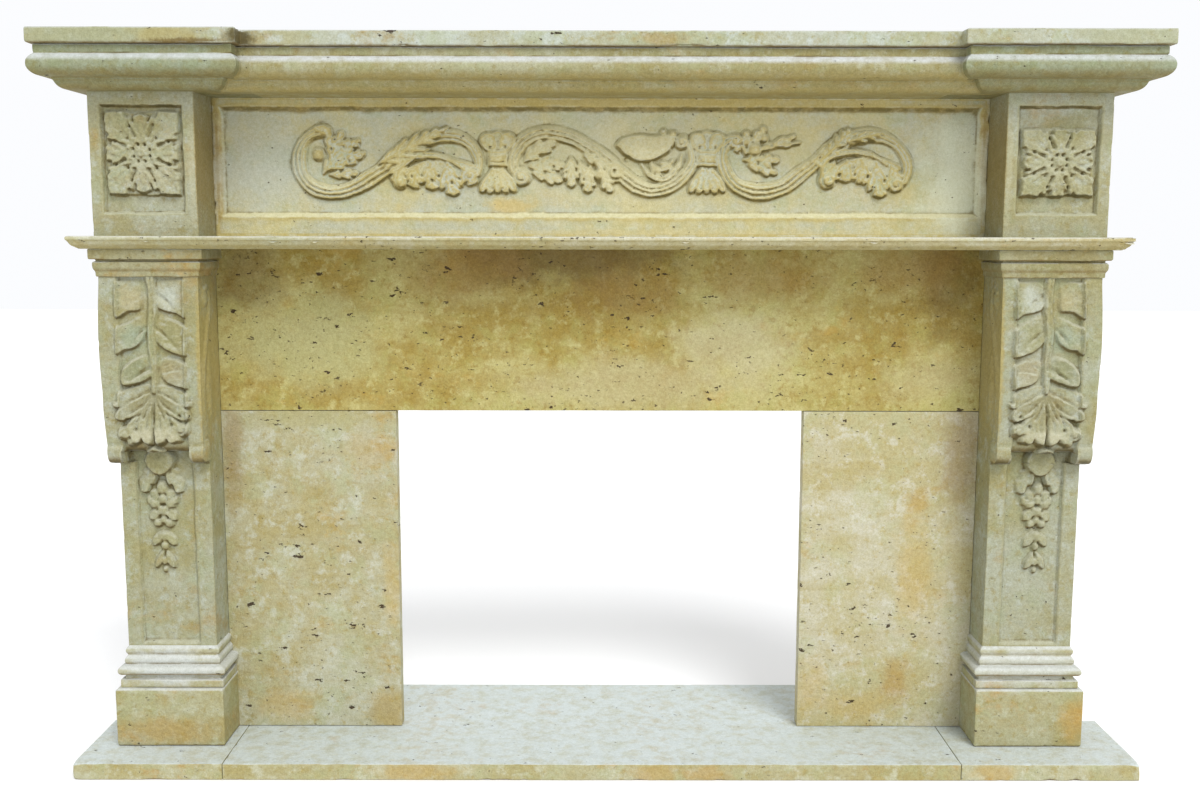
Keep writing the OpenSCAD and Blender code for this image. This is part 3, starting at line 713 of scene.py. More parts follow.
def drop_leaves(r, out):
    """Three pairs of hanging leaves down the console, each lifted at its lower edge."""
    stalk = (out * MIDDLE, LEG_TOP)
    falls = ((1, 1), (4, 47), (0, 96), (3, 150), (2, 200))
    r.band([(out * (MIDDLE - x), LEG_TOP - fall) for x, fall in falls], 17, 9, grooves=(0.1,), start=1.0,
           end=0.7)
    for row, pair in enumerate(CONSOLE_LEAVES):
        for outline, side in zip(pair, (-1, 1)):
            rise = 12.5 + 1.5 * row
            r.plate(outline, rise, -90 + side * 30, low=0.02, point=stalk, flip=-out, dish=0.12)
            foot, tip = outline[0] if row else outline[2 if side < 0 else 0], outline[4 if side < 0 else 3]
            for k in (0.2, 0.5, 0.8):
                start = (foot[0] * (0.4 + 0.4 * k), foot[1] - 18 - 10 * k)
                stop = (tip[0] * (0.35 + 0.5 * k), tip[1] + 16 * (1 - k) + 4)
                bow = ((start[0] + stop[0]) / 2 + side * 4, (start[1] + stop[1]) / 2 + 3)
                r.groove([start, bow, stop], 3.2, 2.6, flip=-out, point=stalk)


def acanthus(r, out):
    """The acanthus at the foot of the console: fingers that fan down and fold over at their tips."""
    stalk = (out * MIDDLE, LEG_TOP)
    for k, outline in enumerate(FINGERS):
        for flip in (-1, 1):
            r.plate(outline, 12 + 2 * k, -60, low=0.12, point=stalk, flip=flip * out, dish=0.2)
            r.groove([(4, -198 - 10 * k), (28 - 5 * k, -212 - 17 * k), (50 - 5 * k, -224 - 18 * k)], 3.4, 4,
                     flip=flip * out, point=stalk)
    for k, outline in enumerate(TIPS):
        for flip in (-1, 1):
            r.plate(outline, 17.5 - k, -88, low=0.4, point=stalk, flip=flip * out, dish=-0.1)
            r.groove([(5 + 12 * k, -226), (11 + 17 * k, -250), (13 + 17 * k, -272)], 3.2, 4,
                     flip=flip * out, point=stalk)
    for flip, fall, radius in ((-1, 268, 14), (1, 275, 13)):
        x = stalk[0] + flip * out * 50
        r.ball(x, LEG_TOP - fall, radius, 17, curl=flip * out)
        r.ball(x - flip * out * 10, LEG_TOP - fall - 15, 9, 14)
        r.drill(x - flip * out * 4, LEG_TOP - fall + 24, 4.5, 9)
        r.drill(x - flip * out * 19, LEG_TOP - fall + 8, 3.6, 8)
    r.groove([(-32, -296), (-20, -291), (0, -299), (18, -292), (30, -296)], 3.4, 7, point=stalk)


def husks(r, out):
    """The string of buds, leaves and berries that hangs on the shaft."""
    x = out * (MIDDLE + 3)
    top = CONSOLE_Z + 2
    r.leaf(x, top + 8, -90, 56, 54, 19, widest=1.0, lift=0.4, dish=-0.1)
    for side in (-1, 1):
        r.leaf(x + side * 2, top - 2, -90 + side * 24, 50, 22, 15, bend=-side * 6, widest=1.2,
               tilt=-0.5 * side)
        r.leaf(x + side * 2, top - 30, -90 + side * 50, 58, 34, 17, bend=-side * 14, widest=1.5, lift=0.6,
               tilt=-0.7 * side, lobes=2)
        r.leaf(x + side * 4, top - 74, -90 + side * 52, 34, 22, 14, bend=-side * 6, lobes=2, tilt=-0.5 * side)
        r.ball(x + side * 14, top - 100, 10, 12)
        r.leaf(x + side * 2, top - 104, -90 + side * 40, 34, 19, 13, widest=1.4, tilt=-0.5 * side)
        r.ball(x + side * 10, top - 136, 8.5, 12)
        r.leaf(x + side * 2, top - 150, -90 + side * 34, 34, 17, 12, widest=1.4, tilt=-0.5 * side)
        r.leaf(x + side, top - 186, -90 + side * 26, 38, 14, 10, widest=1.3)
        for dx, fall in ((9, 112), (9, 66), (7, 146), (7, 182), (20, 88)):
            r.drill(x + side * dx, top - fall, 3.4, 6)
    for fall, radius in ((72, 11), (92, 9), (114, 10), (130, 7), (160, 9), (178, 7), (206, 7), (222, 5)):
        r.ball(x, top - fall, radius, 15 - fall * 0.03, squash=0.85)
    for fall in (103, 147, 192):
        r.drill(x, top - fall, 3.6, 6)


def carve_leg(out):
    def carve(r):
        inside, ground = leg_field(r, out)
        rolls = hanging_scrolls(r, inside)
        drop_leaves(r, out)
        acanthus(r, out)
        husks(r, out)
        on_field = ease((inside + 5) / 6) + (r.level < CONSOLE_Z + 90)
        r.h = np.minimum(r.h, 17.5) * np.clip(on_field, 0, 1)
        r.blur()
        tooled = r.tooling((1.6, 15, 31, 3), (1.2, 5, 37, 2)) * ease((r.h + 1) / 4)
        r.h = np.maximum(ground + r.h + tooled, rolls + ground * (rolls <= 0))
    return carve


def leg_side_scroll(r):
    """Long S-scroll on the side of the console, ending in a volute; r.x is the depth."""
    path = ((-2, 30), (8, 80), (2, 140), (-22, 200), (-44, 250), (-36, 288), (-12, 284))
    r.band([(VOLUTE_D + y, CONSOLE_Z + z) for y, z in path], 17, 4, grooves=(0.35,))
    r.ball(VOLUTE_D - 18, CONSOLE_Z + 270, 14, 5, curl=-1)
    r.leaf(VOLUTE_D - 34, CONSOLE_Z + 50, 84, 130, 30, 4, bend=8, lobes=4)
    r.ball(VOLUTE_D, SCROLL_MID, SCROLL_R, 6, curl=1)
    r.blur()


def leg(side):
    out = OUT[side]

    def outer(z):
        swell = 4 * np.sin(math.pi * np.clip((z - CONSOLE_Z - 110) / 190, 0, 1))
        taper = 4 * ease((CONSOLE_Z + 90 - z) / 90)
        return np.where(z < SCROLL_FOOT, SHAFT_OUT, LEG_OUT + swell - taper)

    left, right = (LEG_IN, outer) if out > 0 else (lambda z: -outer(z), -LEG_IN)
    low = spaced(LEG_FOOT, CONSOLE_Z - 236, 3.4, fine=(1.0,))
    mid = spaced(CONSOLE_Z - 234, SCROLL_FOOT - 0.4, 1.75)
    roll = spaced(SCROLL_FOOT + 0.4, CONSOLE_Z - 0.4, 1.75)
    high = spaced(CONSOLE_Z + 0.4, LEG_TOP, 1.75)
    zs = np.concatenate([low, mid, roll, high])
    return standing(left, right, leg_depth, zs, spaced(0, 1, 1 / 96, fine=(0.006,)),
                    spaced(0, 1, 1 / 34, fine=(0.012,)), carve_leg(out), 11 + out,
                    side_carve=leg_side_scroll, wear=0.8)


# ---------------------------------------------------------------- carving of the frieze
SCROLL_Z = 1085.0  # centre line of the running scroll
STEM = dict(grooves=(-0.42, 0.18, 0.66), start=0.75, end=0.6, steps=140, lean=0.25)
FRIEZE_LO, FRIEZE_HI = node_box("frieze_panel")[0][2], node_box("frieze_panel")[1][2]
BLOCK_IN, BLOCK_OUT = node_box("frieze_block_right")[0][0], node_box("frieze_block_right")[1][0]
BLOCK_D, PANEL_D, SINK = 131.0, 30.0, 9.0
PANEL_FIELD = (-BLOCK_IN + 12, BLOCK_IN - 12, FRIEZE_LO + 34, FRIEZE_HI - 14)


def knot(r, x):
    """The band that ties two scrolls: petals above a collar, and a fluted tassel below."""
    for k in (-1, 1, 0):
        r.leaf(x + 5 * k, 14, 90 - 24 * k, 46, 30, 10 + 2 * abs(k), widest=1.8, lift=0.6, dish=0.35,
               blunt=0.4)
    for k in (-2, -1, 0, 1, 2):
        r.leaf(x + 3.0 * k, -2, -90 + 14 * k, 51 + 2 * abs(k), 17, 12, widest=1.9, lift=0.6, blunt=0.35)
    across, up = np.abs(r.x - x) / 19, np.abs(r.z - 10) / 15
    block = np.clip(1 - across ** 4, 0, 1) ** 0.5 * np.clip(1 - up ** 6, 0, 1) ** 0.4
    rings = 1 - 0.25 * np.exp(-((np.abs(r.z - 10) - 8) / 2) ** 2)
    r.put(14 * block * rings, (across < 1) & (up < 1))
    for side in (-1, 1):
        r.drill(x + side * 14, 30, 3.5, 6)
        r.drill(x + side * 10, -44, 2.5, 5)


def hanging_lobes(r, lobes):
    """The lobes of an acanthus that hang under a stem: place, direction, length and width."""
    for x, z, turn, length, width in lobes:
        r.leaf(x, z, turn, length, width * 1.25, 11, bend=4, widest=1.7, lift=0.35, dish=0.1, lobes=3)
        for side in (-1, 0, 1):
            r.leaf(x, z, turn + 15 * side, length * (0.98 - 0.12 * abs(side)), width * 0.42, 12.5,
                   bend=3 * side, widest=1.9, dish=0.35)


def left_scroll(r):
    r.band([(-492, 57), (-520, 52), (-539, 32), (-544, 4), (-537, -24), (-514, -45), (-478, -51), (-440, -40),
            (-406, -20), (-376, 0), (-346, 21), (-316, 41), (-284, 50), (-252, 47), (-229, 30), (-219, 4),
            (-222, -16)], 29, 13, **STEM)
    r.leaf(-484, 62, 186, 34, 18, 13, bend=-4, widest=0.9)
    r.ball(-509, 17, 12, 11)
    r.leaf(-503, -22, 58, 84, 30, 9, bend=-10, lobes=4)
    r.leaves(((-494, -20, 2, 58, 20), (-492, -12, 24, 72, 22), (-490, -6, 44, 72, 24), (-490, 2, 66, 64, 24),
              (-486, 8, 92, 50, 20), (-468, 12, 10, 46, 18), (-466, 20, 36, 44, 18)), 11, lobes=3, dish=0.4)
    r.drills(((-452, 4), (-462, 30), (-470, -14), (-484, 26), (-444, 24), (-478, 44)), 3.4, 7)
    r.leaf(-404, -2, 26, 150, 40, 17, bend=4, lobes=6, widest=1.0, lift=0.3, dish=0.1, blunt=0.9)
    r.leaf(-400, -2, 34, 84, 22, 16, bend=3, lobes=4)
    r.leaf(-392, -6, 20, 92, 16, 15, bend=3)
    r.leaf(-366, -22, 14, 150, 44, 9, bend=-24, widest=1.1, lift=0.2)
    hanging_lobes(r, ((-348, 8, -124, 50, 30), (-330, 4, -104, 48, 30), (-306, 8, -92, 54, 34),
                      (-276, 8, -84, 66, 36), (-248, 2, -68, 44, 30)))
    r.band([(-368, -28), (-362, -8), (-336, 11), (-304, 15), (-272, 8), (-242, -10)], 15, 14, grooves=(0.3,))
    r.ball(-361, -32, 14, 14, curl=-1)
    r.ball(-234, -18, 16, 14, curl=1)
    r.drills(((-340, -22), (-321, -20), (-292, -22), (-256, -26), (-351, -22), (-304, -30), (-268, -34)),
             3.6, 8)


def middle_scroll(r):
    r.band([(-140, -26), (-156, -8), (-156, 16), (-140, 40), (-112, 55), (-80, 55), (-46, 44), (-14, 26),
            (14, 4), (38, -18), (64, -38), (94, -46), (126, -38), (152, -18), (166, 8), (160, 34), (146, 40)],
           30, 13, **STEM)
    r.ball(-142, -22, 18, 15, curl=1)
    r.leaf(-140, 2, 46, 70, 34, 11, bend=-16, lobes=3, tilt=-0.5)
    r.leaf(-136, -4, 10, 74, 32, 12, bend=-10, lobes=4, tilt=-0.6)
    r.leaf(-128, -12, -16, 64, 28, 12, lobes=3, tilt=-0.4)
    r.leaves(((-54, 16, -88, 58, 32), (-40, 8, -66, 58, 28), (-18, 0, -96, 52, 30), (-4, -8, -60, 50, 26),
              (-34, 18, -24, 62, 26), (-48, 4, -120, 36, 22)), 13, lobes=3, lift=0.5, dish=0.35)
    r.ball(26, -13, 20, 15, curl=-1)
    r.ball(0, -18, 12, 13)
    r.drill(25, -13, 5, 9)
    r.plate([(26, 34), (38, 48), (66, 54), (100, 52), (134, 56), (128, 28), (104, 10), (74, 4), (46, 14)],
            17, -90, low=0.5, dish=-0.15)
    r.ball(147, 40, 14, 15, curl=1)
    r.ball(130, 54, 8, 13)
    r.ball(113, 58, 6, 11)
    r.band([(74, 0), (88, -18), (108, -26), (128, -18), (142, 0), (146, 16)], 14, 11, grooves=(0.0,))
    r.band([(90, 4), (104, -8), (120, -6), (130, 8)], 12, 10, grooves=(0.0,))
    r.leaf(88, 2, -50, 34, 16, 9, lobes=2)
    r.leaf(104, 6, -30, 34, 16, 9, lobes=2)
    r.drills(((-110, 14), (-84, -4), (-62, -14), (-30, -28), (44, 8), (128, 28), (-12, -32), (-100, -16)),
             3.4, 7)


def right_scroll(r):
    r.band([(240, 44), (224, 34), (220, 10), (228, -16), (248, -38), (286, -49), (326, -42), (358, -20),
            (388, 4), (414, 26), (444, 44), (478, 53), (514, 47), (542, 26), (556, -4), (548, -30)],
           30, 13, **STEM)
    r.ball(243, 42, 14, 13, curl=-1)
    r.leaves(((262, 14, 90, 48, 26), (266, 20, 58, 58, 26), (274, 20, 22, 86, 18), (280, 28, 8, 84, 14),
              (254, 8, 0, 70, 26), (262, 2, -18, 62, 22), (252, 18, 122, 32, 20)), 12, lobes=3, dish=0.4)
    r.ball(276, 26, 14, 15)
    r.ball(294, 46, 9, 13)
    r.ball(262, 40, 9, 12)
    r.drills(((262, 30), (294, 16), (284, 2), (308, 34), (250, 22)), 3.4, 7)
    r.leaf(374, 10, -16, 42, 18, 13)
    r.leaf(392, 2, 44, 84, 30, 16, bend=6, lobes=5, dish=0.1)
    r.leaf(430, 38, 14, 78, 24, 15, lobes=4, dish=0.1)
    r.leaf(404, -20, 16, 138, 44, 9, bend=-24, widest=1.1, lift=0.2)
    hanging_lobes(r, ((424, 10, -114, 48, 28), (444, 14, -100, 46, 30), (470, 14, -90, 50, 32),
                      (496, 8, -84, 68, 36), (522, 2, -72, 42, 26)))
    r.band([(402, -26), (400, -2), (422, 18), (456, 22), (490, 16), (516, 0)], 15, 14, grooves=(0.3,))
    r.ball(410, -27, 17, 15, curl=-1)
    r.ball(534, -35, 15, 14, curl=1)
    r.drills(((430, -18), (458, -18), (483, -22), (513, -30), (426, -30), (470, -34)), 3.6, 8)


def carve_panel(r):
    r.sink(*PANEL_FIELD, SINK, 9)
    ground = r.layer()
    r.z = r.z - SCROLL_Z
    left_scroll(r)
    middle_scroll(r)
    right_scroll(r)
    for x in (-185, 192):
        knot(r, x)
    r.blur()
    r.z = r.z + SCROLL_Z
    tooled = r.tooling((1.5, 12, 41, 3), (1.1, 4.5, 43, 2)) * ease((r.h - 0.5) / 4)
    r.h = ground + np.minimum(r.h, 15.5) + tooled


def rosette(r, x, z, wide, high, base):
    """Flower on a square tile: two rings of petals, a leaf in each corner and a button."""
    edge = np.minimum(wide / 2 - np.abs(r.x - x), high / 2 - np.abs(r.z - z))
    ragged = 2.2 * noise(np.stack([r.x, 0 * r.x, r.z], -1), 11, 5, 2)
    r.put(base * ease((edge + ragged) / 3), edge + ragged > 0)
    tile = r.layer()
    span = min(wide, high) / 2
    reach = math.hypot(wide, high) / 2
    for sx in (-1, 1):
        for sz in (-1, 1):
            turn = math.degrees(math.atan2(sz * high, sx * wide))
            r.leaf(x, z, turn, reach, span * 0.92, 10, lobes=4, widest=1.75, dish=0.5, lift=0.3)
            for side in (-1, 1):
                r.leaf(x, z, turn + 13 * side, reach * 0.86, span * 0.26, 9, widest=1.7, dish=0.3)
    for k in range(4):
        r.leaf(x, z, 90 * k, span * 1.06, span * 0.66, 13, widest=1.7, lift=0.4, dish=0.6, lobes=3)
        r.leaf(x, z, 90 * k, span * 0.98, span * 0.16, 11, widest=1.2)
    for k in range(8):
        r.leaf(x, z, 45 * k + 22.5, span * 0.72, span * 0.34, 12, widest=1.5, lift=0.5, dish=0.6)
        r.leaf(x, z, 45 * k, span * 0.5, span * 0.4, 14, widest=1.5, lift=0.4, dish=0.6)
    for k in range(8):
        a = math.radians(45 * k + 22.5)
        way = np.array([math.cos(a), math.sin(a)]) * span
        r.groove([tuple(0.45 * way), tuple(0.70 * way), tuple(0.92 * way)], 3.4, 5, point=(x, z))
    for k in range(8):
        a = math.radians(45 * k + 22.5)
        r.drill(x + 0.24 * span * math.cos(a), z + 0.24 * span * math.sin(a), 4.0, 10)
        r.drill(x + 0.78 * span * math.cos(a), z + 0.78 * span * math.sin(a), 3.6, 8)
    for k in range(4):
        a = math.radians(90 * k + 45)
        r.drill(x + 0.55 * span * math.cos(a), z + 0.55 * span * math.sin(a), 3.0, 6)
    r.ball(x, z, 10, 15)
    r.drill(x, z, 3.5, 3)
    inside = ease((edge + ragged + 1) / 3)
    r.h = tile + np.maximum(r.h, 0) * inside + np.minimum(r.h, 0) * inside


def carve_block(out, tile_high):
    def carve(r):
        x0, x1 = sorted((out * (BLOCK_IN + 20), out * (BLOCK_OUT - 19)))
        r.sink(x0, x1, FRIEZE_LO + 38, FRIEZE_HI - 22, SINK, 4)
        ground = r.layer()
        middle = out * (BLOCK_IN + BLOCK_OUT) / 2
        rosette(r, middle, FRIEZE_LO + 69 + tile_high / 2, 128, tile_high, 5)
        r.blur()
        r.h = ground + r.h + r.tooling((1.3, 12, 51, 3), (1.1, 4.5, 53, 2)) * ease(r.h / 4)
    return carve


# ---------------------------------------------------------------- mouldings
CORNICE = [(0, 0), (22, 0), *arc(22, 18, 18, -84, -10), (42, 15), (42, 19), (53, 19),
           *arc(53, 38, 19, -80, 70, 14), (62, 57), (62, 71), (0, 71)]
ARCHITRAVE = [(0, 0), (22, 0), (22, 3), *arc(22, 14, 11, -80, 0, 6), (35, 14), *arc(33, 18, 4, -60, 60, 5),
              (35, 22), (0, 22)]
CAPITAL = [(0, 0), (3, 0), (3, 9), *arc(-5, 18, 12, -40, 0, 5), (7, 26), (2, 26), (2, 30), (12, 30),
           (12, 48), (0, 48)]
BASE = [(0, 0), (13, 0), (13, 15), (6, 15), (6, 23), (9, 23), *arc(9, 31.5, 8.5, -80, 80, 10), (6, 40.5),
        *arc(-2, 49, 9, -55, 55, 7), *arc(-4, 67, 9, -58, 62, 7), (0, 76)]
SHELF = [(0, 0), (71, 0), (71, 26), (0, 26)]


def mirrored(path, side):
    """A plan path on the right of the centre line, or its mirror image on the left."""
    return path if side == "right" else [(-x, y) for x, y in path[::-1]]


def side_moulding(profile, path, closing, z, pitch, seed, side, **more):
    """A moulding on one side of the centre line; its path runs from the middle outwards."""
    return moulding(profile, mirrored(path, side), z, mirrored(closing, side), pitch, seed, **more)


# ---------------------------------------------------------------- the stones
def lines(*stretches):
    """Values along a face, from stretches of (from, to, pitch) that follow each other."""
    return np.unique(np.concatenate([spaced(lo, hi, pitch) for lo, hi, pitch in stretches]).round(3))


# Marks on the stones: place across and up, half width and half height, colour as seen, share.
DARK, BROWN, OCHRE, STRAW = (112, 88, 36), (150, 120, 58), (186, 152, 68), (198, 170, 96)
HEARTH_MARKS = (
    (-320, 15, 110, 30, (196, 162, 78), 0.6), (100, 15, 70, 26, (200, 160, 80), 0.5),
    (190, 12, 60, 24, (196, 156, 74), 0.5), (700, 15, 60, 26, (204, 168, 90), 0.5))
# The dark and brown marks along the top are the architrave's painted shadow together with staining; the paler
# ones lower down are tone.
HEADER_MARKS = (
    (-90, 915, 320, 70, DARK, 0.8), (40, 850, 150, 60, BROWN, 0.6), (-240, 900, 150, 90, BROWN, 0.6),
    (-640, 900, 90, 120, DARK, 0.5), (640, 880, 90, 150, DARK, 0.6), (300, 880, 160, 60, BROWN, 0.5),
    (560, 900, 120, 70, BROWN, 0.6), (-540, 760, 200, 110, (172, 168, 116), 0.75),
    (250, 760, 160, 90, (194, 188, 152), 0.5), (60, 690, 330, 70, (186, 176, 132), 0.6),
    (600, 700, 130, 60, (186, 176, 130), 0.5))
# The brown strip at x -680, along the jamb's edge by the leg, is the leg's painted shadow; the others are
# stains and tone.
LEFT_JAMB_MARKS = (
    (-540, 622, 190, 30, (180, 172, 118), 0.7), (-430, 560, 60, 60, OCHRE, 0.3),
    (-400, 60, 50, 60, (182, 154, 76), 0.6), (-600, 70, 90, 50, STRAW, 0.5), (-680, 560, 30, 140, BROWN, 0.5),
    (-390, 300, 24, 120, STRAW, 0.5))
RIGHT_JAMB_MARKS = (
    (590, 330, 50, 160, STRAW, 0.5), (560, 120, 40, 70, (180, 144, 66), 0.6),
    (400, 110, 40, 80, STRAW, 0.5), (670, 560, 50, 150, BROWN, 0.45), (480, 70, 120, 40, STRAW, 0.4))
PLINTH_MARKS = (
    (-790, 60, 130, 40, (190, 158, 84), 0.6), (-780, 178, 150, 52, (213, 218, 214), 0.9),
    (780, 178, 150, 52, (212, 215, 206), 0.8), (870, 80, 40, 60, (196, 158, 78), 0.6))
ARCHITRAVE_MARKS = (
    (-640, 952, 300, 40, (172, 174, 144), 0.65), (330, 952, 500, 30, (206, 198, 162), 0.4))
# The ochre strip along the top, under the cornice, and the two dark strips at the ends, beside the blocks,
# are painted shade; the rest are stains and tone.
PANEL_MARKS = (
    (30, 1090, 300, 120, (204, 198, 160), 0.6), (0, 1195, 800, 14, (184, 166, 100), 0.8),
    (-690, 1080, 16, 140, (150, 124, 64), 0.75), (690, 1080, 16, 140, (156, 130, 70), 0.75),
    (-160, 1010, 60, 26, (198, 174, 106), 0.7), (330, 1120, 90, 60, (192, 180, 130), 0.5),
    (-610, 1070, 130, 110, (184, 188, 174), 0.6), (650, 1060, 100, 150, (208, 212, 188), 0.85),
    (0, 963, 700, 8, (196, 184, 136), 0.5))
# The second mark, a dark narrow strip on the block's inner side, is painted shade; the others are stains and
# tone.
BLOCK_MARKS = (  # laid off from the centre line outwards, on both blocks
    (704, 1080, 8, 150, (194, 190, 156), 0.5), (696, 1080, 4, 170, (154, 134, 74), 0.85),
    (795, 1140, 60, 34, (150, 146, 96), 0.6), (770, 1070, 50, 30, (190, 188, 156), 0.6))
# The second mark, a whitish band along the top of the torus, is a painted highlight; the first is an ochre
# stain.
CORNICE_MARKS = (
    (-650, 1240, 26, 24, (186, 140, 62), 0.8), (0, 1280, 900, 11, (226, 228, 220), 0.85))
# Painted highlight: whitish bands along the top of the torus on both end stones.
CORNICE_END_HIGHLIGHTS = (
    (-780, 1281, 300, 9, (208, 214, 200), 0.7), (780, 1281, 300, 9, (212, 216, 204), 0.7))
SHELF_MARKS = (
    (-840, 1285, 230, 60, (176, 178, 138), 0.85), (860, 1285, 130, 50, (184, 186, 150), 0.7),
    (-720, 1284, 80, 30, (186, 172, 108), 0.7), (-690, 1275, 100, 7, (122, 100, 44), 0.85),
    (-600, 1284, 30, 26, (92, 80, 34), 0.9), (100, 1284, 60, 18, (176, 148, 76), 0.6))
LEAF_MARKS = (  # laid off outwards from the drop's centre line and down from the leg's top
    (30, 40, 34, 34, (188, 176, 130), 0.6), (-33, 38, 32, 36, (202, 208, 194), 0.75),
    (27, 105, 36, 36, (158, 170, 142), 0.65), (-30, 105, 30, 40, (156, 154, 106), 0.65),
    (27, 165, 40, 36, (138, 142, 98), 0.65), (-33, 165, 34, 30, (168, 156, 114), 0.6),
    (0, 225, 70, 34, (146, 138, 90), 0.65), (0, 278, 66, 16, (204, 200, 168), 0.75),
    (6, 330, 40, 30, (150, 146, 98), 0.6), (0, 440, 40, 80, (168, 166, 124), 0.5))
SLIPS = (  # node, seed, light that falls on it, pale and warm stone, marks
    ("slip_header", 71, 1.3, (186, 176, 112), (160, 138, 62), HEADER_MARKS),
    ("slip_left", 72, 1.45, (194, 193, 166), (182, 172, 124), LEFT_JAMB_MARKS),
    ("slip_right", 73, 1.4, (202, 197, 170), (190, 180, 132), RIGHT_JAMB_MARKS))
HEARTHS = (  # node, seed, chips as place, reach and depth
    ("hearth_left", 61, ((-934, -207, 30, 22, 5), (-934, -207, 0, 16, 4))),
    ("hearth_middle", 62, ((-200, -207, 0, 12, 5), (90, -207, 30, 9, 3))),
    ("hearth_right", 63, ((800, -207, 0, 14, 7), (845, -207, 0, 12, 8), (958, -207, 30, 20, 5))))
JOINT = 0.3  # gap that each slab leaves at a joint
MOULDED, CARVED = 62, 75  # creases sharper than this many degrees stay sharp

# Plan of the mouldings, out from the centre line and forward from the wall.
SLIP_D = 30
PLINTH_IN, PLINTH_D, PLINTH_OUT, PLINTH_FOOT, PLINTH_LEDGE = 707, 107, 861, 108, 21
CAPITAL_D, CAPITAL_OUT = 136, 873
CORNICE_JOINT, CORNICE_BREAK, CORNICE_OUT, CORNICE_D, CORNICE_END_D = 602, 674, 879, 99, 131
ARCHITRAVE_H, CORNICE_H = ARCHITRAVE[-1][1], CORNICE[-1][1]
CORNICE_FRONT = [(CORNICE_BREAK, -CORNICE_D), (CORNICE_BREAK, -CORNICE_END_D),
                 (CORNICE_OUT, -CORNICE_END_D), (CORNICE_OUT, 0)]
LEG_CLOSING = [(LEG_IN, 0), (LEG_IN, -SLIP_D)]
WALL_CLOSING = [(800, 0), (-800, 0)]


def round_leg(inner, depth, outer):
    """Plan path of a moulding that runs round a leg, from the slips out to the wall."""
    return [(inner, -SLIP_D), (inner, -depth), (outer, -depth), (outer, 0)]


def make_hearth():
    for node, seed, chips in HEARTHS:
        lo, hi = node_box(node)
        stone = travertine("hearth_stone_" + node, seed, (196, 194, 160), (184, 174, 122),
                           stain=(196, 146, 52), stained=0.75, pitted=0.55, top=(224, 234, 232), bands=0.5,
                           marks=HEARTH_MARKS)
        piece("stone_" + node, slab(lo + [JOINT, 0, 0], hi - [JOINT, 0, 0], 8, 1.5, seed, chips), [node],
              stone)


def make_slips():
    for node, seed, light, pale, warm, marks in SLIPS:
        lo, hi = node_box(node)
        stone = travertine("slip_stone_" + node, seed, pale, warm, stain=OCHRE, stained=0.6,
                           pitted=0.98, bands=0.4, top=(206, 204, 176), marks=marks, light=light)
        piece("stone_" + node, slab(lo + [JOINT, 0, JOINT], hi - [JOINT, 0, JOINT], 8, 1.0, seed), [node],
              stone)


def make_plinths():
    step = [(0, 0), (PLINTH_LEDGE, 0), (PLINTH_LEDGE, PLINTH_FOOT), (0, PLINTH_FOOT)]
    for side, seed in (("left", 81), ("right", 82)):
        node = "plinth_" + side
        lo, _ = node_box(node)
        stone = travertine("plinth_stone_" + side, seed, (186, 184, 148), (176, 166, 112), stained=0.6,
                           stain=(196, 150, 66), pitted=0.4, top=(222, 226, 220), bands=0.35,
                           marks=PLINTH_MARKS)
        foot = side_moulding(step, round_leg(PLINTH_IN, PLINTH_D, PLINTH_OUT), LEG_CLOSING, lo[2], 4.5, seed,
                             side, wear=1.3)
        base = side_moulding(BASE, round_leg(LEG_IN, PLINTH_D, PLINTH_OUT), LEG_CLOSING, lo[2] + PLINTH_FOOT,
                             4.5, seed + 20, side, wear=0.7, step=2.0)
        piece("stone_" + node, join(foot, base), [node], stone, crease=MOULDED)


def make_legs():
    for side, seed in (("left", 91), ("right", 92)):
        out = OUT[side]
        on_leaves = [(out * (MIDDLE + x), LEG_TOP - fall, *rest) for x, fall, *rest in LEAF_MARKS]
        # The first mark, a dark ochre strip on the leg's inner side, is painted shade; the leaf marks are
        # stains and tone.
        stone = travertine("leg_stone_" + side, seed, (180, 183, 160), (166, 160, 110), stained=0.55,
                           stain=(176, 144, 72), pitted=0.4, bands=0.3, top=(198, 198, 170), carved=0.5,
                           carving=(168, 162, 116), light=1.55,
                           marks=((out * LEG_IN, 740, 9, 190, (183, 165, 96), 0.8), *on_leaves))
        piece("stone_leg_" + side, leg(side), ["leg_" + side], stone, crease=CARVED)
        stone = travertine("capital_stone_" + side, seed + 5, (172, 168, 130), (158, 148, 98), stained=0.5,
                           pitted=0.5, bands=0.3, top=(208, 210, 190))
        lo, _ = node_box("capital_" + side)
        cap = side_moulding(CAPITAL, round_leg(LEG_IN, CAPITAL_D, CAPITAL_OUT), LEG_CLOSING, lo[2], 4.5,
                            seed + 7, side, wear=0.6, step=2.0)
        piece("stone_capital_" + side, cap, ["capital_" + side], stone, crease=MOULDED)


